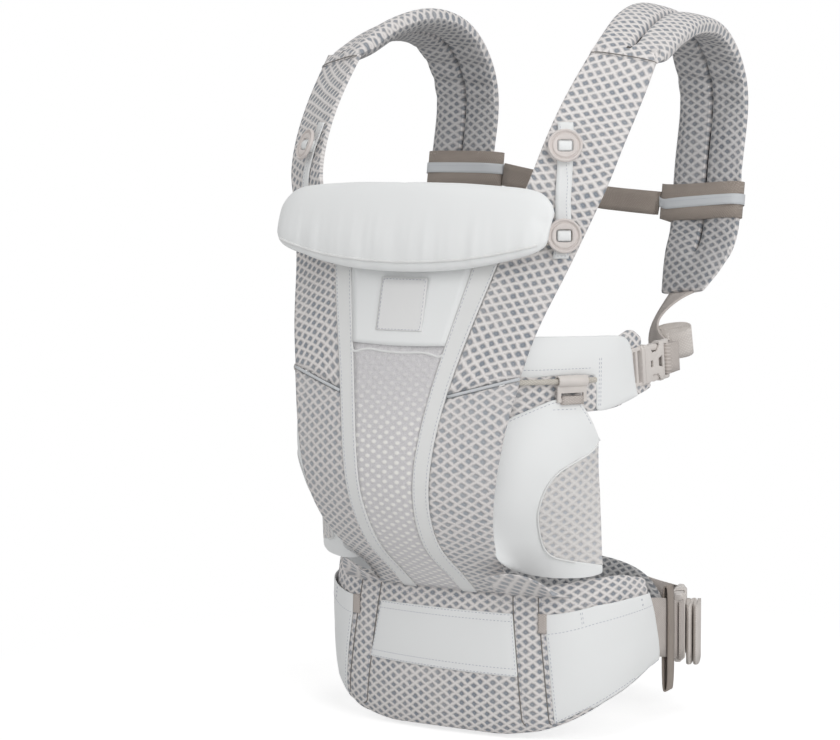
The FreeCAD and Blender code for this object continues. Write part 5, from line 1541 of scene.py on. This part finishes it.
@dataclass
class LegPanel:
    """One panel that closes a leg opening: white shell with a mesh insert shaped like a D."""

    side: Side
    facing: tuple[float, float, float] = (0.8, -0.6, 0.0)
    across: tuple[float, float, float] = (0.6, 0.8, 0.0)
    outer: tuple = ((2.5, 248.5), (-3.6, 262), (-10, 273), (-16.5, 281.5), (-21, 284), (-30, 284.5),
                    (-40, 284), (-48, 281.5), (-64, 275), (-78, 268.5), (-87, 259), (-91, 240),
                    (-92, 214), (-90, 190), (-85, 172), (-78, 157), (-70, 148.5), (-56, 140.5),
                    (-42, 136.5), (-27, 134.5), (-12, 134.8), (0, 136), (10, 139))
    inner: tuple = ((1.6, 247.4), (-3.8, 241.6), (-19.5, 234.4), (-36.5, 226.9), (-45.8, 215.9),
                    (-50.3, 200.8), (-49.1, 187.5), (-42, 168.4), (-38, 161), (-29.6, 153.6), (-14, 149.6),
                    (-1.9, 147.8), (9.8, 146))
    edge: tuple = ((1.8, 247), (3.5, 232.8), (6.4, 207.9), (8, 183), (9.8, 145.5))

    def build(self) -> None:
        """Makes the shell, the insert and their seams."""
        side, word = self.side, self.side.word
        self.surface = Surface(*[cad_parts[n] for n in (f"{word}_leg_panel", "leg_mesh")])
        cloth = Spine.through([(Vector(self.across) * t, UP) for t in (-140, 0, 60)], side, level=True)
        name = f"{word}_leg_panel"
        made = make_piece(Shape(f"{name}_shell", SHELL, (name,), cloth, thickness=1.4, levels=1),
                          self.patch(self.outer, self.inner, 110, 14, 0.3))
        make_piece(Shape(f"{word}_leg_mesh_insert", LEG_KNIT, side.once("leg_mesh"), cloth, thickness=1.2,
                         levels=1), self.patch(self.inner, self.edge, 50, 18, -0.2))
        thread = Stitching(f"{word}_leg_panel_stitches")
        look = -side.turn(self.facing)
        face = Surface(made)
        thread.row(face, [self.spot(p) for p in self.shifted(self.outer[1:11], -2.5)], look)
        thread.row(face, [self.spot((t, 276.0)) for t in np.linspace(-42, -20, 8)], look)
        thread.finish_piece()
        seam = []
        for flat in self.shifted(self.inner[:-1], 0.4)[::4]:
            spot, normal = face.land(self.spot(flat), look, 260.0)
            seam.append(spot / MM + normal * 0.7)
        make_piece(Shape(f"{word}_leg_panel_seam", BINDING), tube_mesh(seam, 0.9, 8))

    def spot(self, flat: Sequence[float]) -> Vector:
        """A flat point of the panel, out in front of it."""
        up = Vector((0, 0, flat[1]))
        return self.side.turn(Vector(self.across) * flat[0] + Vector(self.facing) * 190 + up)

    def shifted(self, line: Sequence, inset: float) -> list[tuple[float, float]]:
        """A flat line moved sideways."""
        points = [np.array(smooth_line(line, share)) for share in np.linspace(0.02, 0.98, 60)]
        moved = []
        for a, b in zip(points, points[1:]):
            run = (b - a) / max(np.linalg.norm(b - a), 1e-6)
            moved.append(tuple(a + np.array([run[1], -run[0]]) * inset))
        return moved

    def patch(self, one: Sequence, other: Sequence, columns: int, rows: int,
              lift: float) -> Mesh:
        """A smooth sheet thrown on to the leg panel's surface.

        Args:
            one: The flat line along its first edge.
            other: The flat line along its last edge.
            columns: Faces along the lines.
            rows: Faces between them.
            lift: How far it stands off the surface.

        Returns:
            The sheet, facing out.
        """
        facing = self.side.turn(self.facing)

        def place(u: float, v: float) -> Vector:
            """A point of the sheet, which keeps the surface's depth where it passes the surface's edge."""
            flat = between(one, other, u, v)
            met = self.surface.cast(self.spot(flat), -facing)
            if met:
                return met[0] / MM + facing * lift
            flush = self.spot(flat) - facing * 22
            depth = (self.surface.nearest(flush)[0] / MM - flush).dot(facing)
            return flush + facing * (depth + lift)

        mesh = grid_sheet(columns, rows, place)
        for _ in range(16):
            depth = {vertex: vertex.co.dot(facing) for vertex in mesh.verts}
            for vertex in mesh.verts:
                near = [e.other_vert(vertex) for e in vertex.link_edges
                        if e.is_boundary or not vertex.is_boundary]
                vertex.co += facing * (0.6 * (sum(depth[v] for v in near) / len(near) - depth[vertex]))
        inner = [v for v in mesh.verts if not v.is_boundary]
        for _ in range(14):
            bmesh.ops.smooth_vert(mesh, verts=inner, factor=0.5, use_axis_x=True, use_axis_y=True,
                                  use_axis_z=True)
        bmesh.ops.recalc_face_normals(mesh, faces=mesh.faces[:])
        middle = sum((f.normal for f in mesh.faces), Vector())
        if middle.dot(facing) < 0:
            bmesh.ops.reverse_faces(mesh, faces=mesh.faces[:])
        return mesh


# ---- head support, buttons
@dataclass
class HeadSupport:
    """The pillow over the panel's top edge, with its corded lower seam, and the loops to the buttons."""

    stations: tuple = ((0, 382.3, 458.5, 24), (42, 384, 458, 24), (76, 388.5, 456, 22), (104, 395, 453.5, 19),
                       (119, 399.5, 449.5, 15), (128, 405, 442, 10), (132, 411, 436, 5))
    y: float = -169.5
    wrap: float = 8.0
    lean: float = 0.32
    middle_z: float = 419.0

    def build(self) -> None:
        """Makes the pillow and its trims."""
        rows = []
        up = Vector((0, self.lean, 1)).normalized()
        full = [(-x, a, b, t) for x, a, b, t in reversed(self.stations[1:])] + list(self.stations)
        for x, low, high, thick in full:
            z = (low + high) / 2
            y = self.y + self.wrap * (x / 131) ** 2 + self.lean * (z - self.middle_z)
            rows.append((Vector((x, y, z)), up, (high - low) / 2, thick / 2))
        spine = Spine.of(rows)
        pillow = make_piece(Shape("head_support_pillow", SHELL, ("head_support", "head_support_foam"), spine,
                                  fill=0.8, body="head_pillow"), padded_body(spine, 120, 36, 2.4))

        def held(cloth: np.ndarray) -> np.ndarray:
            """The lower seam is sewn down."""
            half = np.interp(np.abs(cloth[:, 1] - spine.length / 2), [0, 76, 104, 120, 129],
                             [37, 34, 29, 25, 16])
            return 0.9 * np.exp(-((cloth[:, 0] + half) / 3.0) ** 2)

        puff(pillow, spine, held, 3.0)
        mesh = pillow.data
        for vertex in mesh.vertices:
            x, _, z = vertex.co / MM
            if abs(x) < 128 and z < 440:
                pleat = noise.noise(Vector((x / 13, 0.4, z / 90)))
                pleat += 0.6 * noise.noise(Vector((x / 6, 3.4, z / 60)))
                vertex.co.y += pleat * 0.9 * MM * min(1.0, (440 - z) / 30)
        mesh.update()
        subdivide(pillow)
        self.seam(spine, pillow)
        soft_piece(Shape("head_support_cord_loops", CORD, ("head_support_loops",), None, 2,
                         bend=("head_pillow", Vector((0, -140, 420)), Vector((0, -152, 420)))), 80)

    def seam(self, spine: Spine, pillow: Piece) -> None:
        """The corded seam along the lower front edge."""
        surface = Surface(pillow)
        line = []
        for share in np.linspace(0.03, 0.97, 60):
            centre, across, out, half, _ = spine.at(share)
            spot, normal = surface.land(centre - across * (half * 0.84) + out * 30, -out)
            line.append(spot / MM + normal * 0.25)
        make_piece(Shape("head_support_seam_cord", BINDING, body="head_pillow"), tube_mesh(line, 1.2, 10))


@dataclass
class ButtonStrips:
    """The stitched tapes and round buttons on the straps' front run."""

    across: tuple[float, float, float] = (0.848, 0.53, 0.0)
    front_y: float = -136.0        # a level in front of the tapes, from which their stitches are thrown
    run: tuple = ((126.5, 398), (126.8, 413), (125.5, 428), (125.0, 440), (126.4, 456), (125.2, 470),
                  (123.2, 483), (120.4, 497), (119.3, 501))
    section: tuple = ((7.4, -1.2), (7.9, -0.6), (9.3, -0.35), (10.0, -0.45), (10.4, -1.7), (11.5, -1.7),
                      (11.9, -0.1), (13.1, 0.1), (13.95, -0.7), (13.95, -2.4), (13.2, -3.3), (7.4, -3.3))
    opening: tuple[float, float] = (6.2, 5.0)
    squareness: int = 7
    loop_size: tuple[float, float] = (10.6, 8.6)

    def build(self) -> None:
        """Makes the tapes, the buttons and their stitches."""
        strips = soft_piece(Shape("button_strip_tapes", SHELL, ("button_strips",), None, 2), 60)
        for vertex in strips.data.vertices:
            if vertex.co.z > 500 * MM:
                vertex.co += Vector((math.copysign(1.8, vertex.co.x), -4.4, -6.5)) * MM
        surface = Surface(strips)
        thread = Stitching("button_strip_stitches", pitch=2.8, length=1.9, width=0.5)
        across = Vector(self.across)
        for side in Side:
            look = side.turn((-across.y, across.x, 0))
            for offset in (-5.0, 5.0):
                line = [side.turn(Vector((x, self.front_y, z)) + across * offset) for x, z in self.run]
                thread.row(surface, line, look)
            for x, z in (self.run[0], self.run[-1]):
                end = Vector((x, self.front_y, z))
                thread.row(surface, [side.turn(end + across * t) for t in (-4.5, 0, 4.5)], look)
        thread.finish_piece()
        self.buttons()

    def buttons(self) -> None:
        """Each button is turned: a dished face, a raised rim and a square opening with its tape."""
        mesh = merged_copy("strap_buttons")
        places = []
        for group in islands(mesh):
            points = np.array([v.co for face in group for v in face.verts])
            area: dict[tuple, float] = {}
            for face in group:
                key = tuple(round(c, 2) for c in face.normal)
                area[key] = area.get(key, 0.0) + face.calc_area()
            normal = Vector(max(area, key=area.get)).normalized()
            if normal.y > 0:
                normal = -normal
            discs = points[(points @ np.array(normal)) > (points @ np.array(normal)).max() - 0.0005]
            places.append((Vector(discs.mean(0)), normal))
        mesh.free()
        body = bmesh.new()
        for centre, normal in places:
            self.turned(body, centre, normal)
        make_piece(Shape("strap_round_buttons", BUTTON, ("strap_buttons",), levels=1), body)
        tapes = bmesh.new()
        for centre, normal in places:
            up = (UP - normal * normal.z).normalized()
            turn = Matrix((up.cross(normal), up, normal)).transposed().to_4x4()
            made = bmesh.ops.create_grid(tapes, x_segments=6, y_segments=8, size=0.5)
            for vertex in made["verts"]:
                x, y = vertex.co.x * self.loop_size[0], vertex.co.y * self.loop_size[1]
                vertex.co = Vector((x, y, -2.2 + 1.9 * math.cos(y * 0.31))) * MM
            stem = Matrix.Translation((0, 0, -5.4 * MM)) @ Matrix.Diagonal((0.0094, 0.0094, 0.0046, 1.0))
            post = bmesh.ops.create_cube(tapes, size=1.0, matrix=stem)
            bmesh.ops.transform(tapes, matrix=Matrix.Translation(centre) @ turn,
                                verts=made["verts"] + post["verts"])
        make_piece(Shape("button_tape_loops", SHELL, thickness=0.5), tapes)

    def turned(self, body: Mesh, centre: Vector, normal: Vector) -> None:
        """Adds one button, spun from its half section and placed on its axis.

        Args:
            body: The mesh that takes it.
            centre: The middle of its face.
            normal: The way it faces.
        """
        inner = self.section[0][0]
        start = len(body.verts)
        ring = [body.verts.new(Vector((r, 0, z)) * MM) for r, z in self.section]
        edges = [body.edges.new((ring[k], ring[(k + 1) % len(ring)])) for k in range(len(ring))]
        bmesh.ops.spin(body, geom=ring + edges, cent=(0, 0, 0), axis=(0, 0, 1), dvec=(0, 0, 0),
                       angle=2 * math.pi, steps=48, use_merge=True)
        body.verts.ensure_lookup_table()
        fresh = body.verts[start:]
        for vertex in fresh:
            flat = Vector((vertex.co.x, vertex.co.y))
            if flat.length < (inner + 0.8) * MM:
                scale = flat.length / (inner * MM)
                wide, tall = (abs(c) / (half * MM * scale) for c, half in zip(flat, self.opening))
                reach = (wide ** self.squareness + tall ** self.squareness) ** (1 / self.squareness)
                vertex.co.x, vertex.co.y = flat.x / reach, flat.y / reach
        faces = {face for vertex in fresh for face in vertex.link_faces}
        bmesh.ops.recalc_face_normals(body, faces=list(faces))
        turn = normal.to_track_quat("Z", "Y").to_matrix().to_4x4()
        bmesh.ops.transform(body, matrix=Matrix.Translation(centre) @ turn, verts=fresh)


# ---- fastenings
@dataclass
class ShoulderFastening:
    """One shoulder buckle with its webbing and the rolled tail."""

    side: Side

    def build(self) -> None:
        """Makes the buckle and its webbing."""
        side, word = self.side, self.side.word
        socket = f"{word}_strap_socket"
        hard_piece(f"{word}_shoulder_socket", f"{word}_buckle_socket", socket)
        hard_piece(f"{word}_shoulder_plug", f"{word}_buckle_plug")
        hard_piece(f"{word}_shoulder_plug_arms", f"{word}_buckle_arms", bevel=0.4)
        rows = [((123.4, 68, 358), (1, -0.12, 0.1)), ((120.5, 54, 351), (0.88, -0.4, 0.3)),
                ((118.5, 29.5, 336), (0.7, -0.48, 0.53)), ((123, 18, 322), (0.45, -0.3, 0.84)),
                ((137, 7, 312), (0.15, -0.1, 0.98)), ((146, -10, 309), (0, 0, 1))]
        spine = Spine.through(rows, side)
        soft_piece(Shape(f"{word}_shoulder_strap_webbing", STRAP_WEB, (f"{word}_shoulder_webbing",), spine, 2,
                         bend=(socket, side.turn((118.5, 45, 346)), side.turn((137, 7, 312)))), 60)
        axis = side.turn(Vector((-0.5, 0.8, 0.4)).cross(Vector((0.848, 0.53, 0.12))).normalized())
        base = side.turn((132.7, 40.5, 319.5))
        roll = Spine.through([(base + Vector((reach, 0, 0)), axis) for reach in (-60, 60)])
        # The rolled tail takes the lightened copy of the webbing: painted light.
        soft_piece(Shape(f"{word}_webbing_rolled_tail", ROLLED_WEB_PAINTED_LIGHT, (f"{word}_webbing_roll",), roll, 2,
                         body=socket), 60)


@dataclass
class ChestStrap:
    """Elastic bands round both straps, the webbing and its small buckle."""

    bands: tuple = ((Side.RIGHT, 435.0), (Side.LEFT, 461.0))
    run: tuple[float, float, float] = (0.0, 0.152732, 0.988268)
    tape_half: float = 4.6
    ease: float = 2.2              # how far the bands stand off the CAD solid, round the filled straps

    def build(self) -> None:
        """Makes every piece of the chest strap."""
        rows = [(spot, UP) for spot in ((-170, 99, 462), (-84, 108, 457), (84, 104, 427), (170, 100, 436))]
        spine = Spine.through(rows)
        body = "chest_strap"
        bands = soft_piece(Shape("chest_elastic_bands", ELASTIC, ("chest_bands",), spine, 2, body=body), 70)
        swell(bands, self.ease)
        self.tilt(bands)
        soft_piece(Shape("chest_webbing_left_run", ELASTIC, ("chest_webbing_left",), spine, 2, body=body), 60)
        webbing = soft_piece(Shape("chest_webbing_right_run", ELASTIC, ("chest_webbing_right",), spine, 2,
                                   body=body,
                                   bend=("chest_plug", Vector((76, 104, 428)), Vector((34, 104, 433)))), 60)
        for vertex in webbing.data.vertices:
            vertex.co.z += 6.5 * MM * min(1.0, max(0.0, (vertex.co.x / MM - 34) / 50))
        hard_piece("chest_socket", "chest_buckle_socket", body, 0.4)
        hard_piece("chest_plug_body", "chest_buckle_plug", "chest_plug", 0.4)
        hard_piece("chest_plug_arms", "chest_buckle_arms", "chest_plug", 0.3)
        tape = self.tapes(spine)
        self.tilt(tape)
        surface = Surface(tape)
        thread = Stitching("chest_band_stitches", body, THREAD, 2.6, 1.8, 0.45)
        for middle in self.middles():
            for shift in (-self.tape_half + 1.0, self.tape_half - 1.0):
                base = middle + Vector(self.run) * shift
                for face in (-1, 1):
                    row = [base + Vector((x, 12 * face, self.lean(base.x + x)))
                           for x in np.linspace(-30, 30, 12)]
                    thread.row(surface, row, Vector((0, -face, 0)))
        thread.finish_piece()

    def lean(self, x: float) -> float:
        """How far the right band is pulled up at x, in millimetres."""
        return 0.085 * (x - 133) if x > 84 else 0.0

    def tilt(self, piece: Piece) -> None:
        """Lets the right band sit askew on its strap."""
        for vertex in piece.data.vertices:
            vertex.co.z += self.lean(vertex.co.x / MM) * MM

    def middles(self) -> list[Vector]:
        """The middle of each strap where its band goes round it."""
        return [side.turn((127, 101 + 17 * (z - 412) / 110, z)) for side, z in self.bands]

    def tapes(self, spine: Spine) -> Piece:
        """The reflective tape sewn along the middle of each band: a strip of the band's own outer skin."""
        whole = bmesh.new()
        run = Vector(self.run)
        for middle in self.middles():
            band = merged_copy("chest_bands")
            bmesh.ops.delete(band, geom=[v for v in band.verts if v.co.x * middle.x < 0], context="VERTS")
            for sign in (-1, 1):
                cut = (middle + run * (sign * self.tape_half)) * MM
                bmesh.ops.bisect_plane(band, geom=band.verts[:] + band.edges[:] + band.faces[:], plane_co=cut,
                                       plane_no=run * sign, clear_outer=True)
            inner = []
            for face in band.faces:
                spot = face.calc_center_median() / MM - middle
                if face.normal.dot(spot - run * spot.dot(run)) <= 0 or abs(face.normal.dot(run)) > 0.7:
                    inner.append(face)
            bmesh.ops.delete(band, geom=inner, context="FACES")
            quads_with_creases(band, 70)
            for vertex in band.verts:
                spot = vertex.co / MM - middle
                vertex.co += (spot - run * spot.dot(run)).normalized() * (self.ease + 0.3) * MM
            part = baked(band, "part")
            whole.from_mesh(part)
            bpy.data.meshes.remove(part)
        return make_piece(Shape("chest_reflective_tapes", TAPE, (), spine, levels=2, thickness=0.3,
                                body="chest_strap"), whole)


@dataclass
class WaistFastening:
    """Waist webbing, its buckle and folded tail, the safety loop and the lumbar pad."""

    tail_swell: float = 1.0        # so that the tail's folds lie against each other
    level: float = 83.0            # the height of the webbing's middle line
    half_turn: float = 27.0        # half the pad's length, as a turn round the waist in degrees
    reach: tuple = ((-1.0, 6), (-0.94, 13), (-0.8, 24), (-0.55, 33), (-0.27, 37), (0, 38), (0.27, 37),
                    (0.55, 33), (0.8, 24), (0.94, 13), (1.0, 6))

    def build(self) -> None:
        """Makes every piece behind the waistband."""
        line = [RING.at(run, 10, self.level) for run in np.linspace(-415, 415, 60)]
        ring = Spine.through([(point, UP) for point in line], level=True)
        soft_piece(Shape("waist_webbing_right_run", STRAP_WEB, ("waist_webbing_right",), ring, 2), 60)
        soft_piece(Shape("waist_webbing_left_run", STRAP_WEB, ("waist_webbing_left",), ring, 2,
                         bend=("waist_plug", Vector((60, 111, 80)), Vector((112, 92, 75)))), 60)
        # The folded tail takes the lightened copy of the webbing: painted light.
        tail = soft_piece(Shape("waist_webbing_folded_tail", ROLLED_WEB_PAINTED_LIGHT, ("waist_webbing_tail",), ring, 2,
                                body="waist_plug"), 60)
        swell(tail, self.tail_swell)
        soft_piece(Shape("waist_safety_elastic", ELASTIC, ("safety_loop",), ring, 2), 60)
        hard_piece("waist_socket", "waist_buckle_socket", bevel=0.6)
        hard_piece("waist_plug_body", "waist_buckle_plug", "waist_plug", 0.6)
        hard_piece("waist_plug_arms", "waist_buckle_arms", "waist_plug", 0.4)
        self.lumbar()

    def lumbar(self) -> None:
        """The pad at the small of the back and the sleeve for the webbing."""
        end = RING.run_at_heading(180)
        half = end - RING.run_at_heading(180 - self.half_turn)
        rows = []
        for share, tall in self.reach:
            spot = RING.at(end - abs(share) * half, 1.0, self.level)
            side = Side.LEFT if share > 0 else Side.RIGHT
            rows.append((side.turn(spot), UP, tall, 6.0 if tall > 12 else 4.0))
        spine = Spine.of(rows, level=True)
        nodes = ("lumbar_pad", "lumbar_foam")
        pad = make_piece(Shape("lumbar_pad_cover", LUMBAR_MESH, nodes, spine, fill=0.6, body="lumbar"),
                         padded_body(spine, 70, 30, 2.6))
        puff(pad, spine, lambda cloth: np.zeros(len(cloth)), 1.0)
        subdivide(pad)

        def sleeve(u: float, v: float) -> Vector:
            """A point of the sleeve, which arches over the webbing."""
            heading = 168 + 24 * u
            side = Side.LEFT if heading > 180 else Side.RIGHT
            run = RING.run_at_heading(min(heading, 360 - heading))
            rise = 14.6 - 6.2 * abs(2 * v - 1) ** 10
            return side.turn(RING.at(run, rise, self.level + (v - 0.5) * 60))

        make_piece(Shape("lumbar_webbing_sleeve", LUMBAR_MESH, (), spine, thickness=1.4, levels=1,
                         body="lumbar"), grid_sheet(20, 20, sleeve))


# ---- studio
@dataclass
class Studio:
    """Floor, lights and camera."""

    azimuth: float = 32.0
    elevation: float = 5.0
    distance: float = 2.4
    target: tuple[float, float, float] = (0.0, 0.0, 0.293)
    lens: float = 119.6
    shift: tuple[float, float] = (-0.1155, -0.0024)
    lamps: tuple = (("key_light", (2.5, -1.5, 1.5), 38), ("fill_light", (-1.5, -2.6, 1.4), 12),
                    ("top_light", (0.6, -0.2, 3.0), 16))
    lamp_size: float = 2.0
    floor_shade: float = 0.80
    floor_glow: float = 0.55
    fade: tuple[float, float] = (0.25, 0.55)     # where the floor starts and ends to turn white
    surround: float = 0.42

    def build(self) -> None:
        """Sets up the whole studio."""
        self.floor()
        self.light()
        self.camera()
        bpy.context.scene.view_settings.view_transform = "Standard"

    def floor(self) -> None:
        """A plain pale floor under and behind the carrier."""
        mesh = bmesh.new()
        bmesh.ops.create_grid(mesh, x_segments=1, y_segments=1, size=6.0)
        bmesh.ops.translate(mesh, verts=mesh.verts[:], vec=(0, 0, -0.002))
        data = baked(mesh, "studio_floor")
        floor = in_scene("studio_floor", data)
        made = bpy.data.materials.new("pale_floor")
        tree = cleared(made)
        matte = add_node(tree, "BsdfDiffuse", links={"Color": (*[self.floor_shade] * 3, 1)})
        glow = add_node(tree, "Emission", links={"Color": WHITE, "Strength": self.floor_glow})
        both = add_node(tree, "AddShader", links={0: matte, 1: glow})
        place = add_node(tree, "TexCoord")
        gone = add_node(tree, "VectorMath", {"operation": "LENGTH"}, {0: place.outputs["Object"]})
        far = add_node(tree, "MapRange", SMOOTH_STEP, {
            "Value": gone.outputs["Value"], "From Min": self.fade[0], "From Max": self.fade[1]})
        white = add_node(tree, "Emission", links={"Color": WHITE, "Strength": 1.0})
        fading = add_node(tree, "MixShader", links={0: far, 1: both, 2: white})
        path = add_node(tree, "LightPath")
        seen = add_node(tree, "MixShader", links={
            0: path.outputs["Is Camera Ray"], 1: matte, 2: fading})
        add_node(tree, "OutputMaterial", links={"Surface": seen})
        data.materials.append(made)

    def light(self) -> None:
        """Soft light from the front left and right, a weak top light and an even surround."""
        for name, spot, power in self.lamps:
            lamp = bpy.data.lights.new(name, "AREA")
            lamp.shape = "SQUARE"
            lamp.size = self.lamp_size
            lamp.energy = power
            holder = in_scene(name, lamp)
            holder.location = spot
            aim = Vector(self.target) - Vector(spot)
            holder.rotation_euler = aim.to_track_quat("-Z", "Y").to_euler()
        world = bpy.data.worlds.new("surround")
        bpy.context.scene.world = world
        tree = cleared(world)
        path = add_node(tree, "LightPath")
        bright = add_node(tree, "Math", {"operation": "MAXIMUM"}, {
            0: path.outputs["Is Camera Ray"], 1: path.outputs["Is Glossy Ray"]})
        every = add_node(tree, "Math", {"operation": "MAXIMUM"}, {
            0: bright, 1: path.outputs["Is Transmission Ray"]})
        dim = add_node(tree, "Background", links={"Color": WHITE, "Strength": self.surround})
        white = add_node(tree, "Background", links={"Color": WHITE, "Strength": 1.0})
        seen = add_node(tree, "MixShader", links={0: every, 1: dim, 2: white})
        add_node(tree, "OutputWorld", links={"Surface": seen})

    def camera(self) -> None:
        """The camera, a little above the middle of the carrier on its right front."""
        az, el = math.radians(self.azimuth), math.radians(self.elevation)
        away = Vector((math.sin(az) * math.cos(el), -math.cos(az) * math.cos(el), math.sin(el)))
        lens = bpy.data.cameras.new("camera")
        lens.lens = self.lens
        lens.sensor_width = 36.0
        lens.sensor_fit = "HORIZONTAL"
        lens.shift_x, lens.shift_y = self.shift
        lens.clip_end = 50.0
        holder = in_scene("camera", lens)
        holder.location = Vector(self.target) + away * self.distance
        holder.rotation_euler = away.to_track_quat("Z", "Y").to_euler()
        bpy.context.scene.camera = holder


def main() -> None:
    """Builds the carrier from the waist up, then the studio."""
    logging.basicConfig(level=logging.INFO, format="%(name)s %(message)s")
    Waistband().build()
    FrontPanel().build()
    for side in Side:
        ShoulderStrap(side).build()
        Wing(side).build()
        LegPanel(side).build()
        ShoulderFastening(side).build()
    HeadSupport().build()
    ButtonStrips().build()
    ChestStrap().build()
    WaistFastening().build()
    Studio().build()


if __name__ == "__main__":
    main()
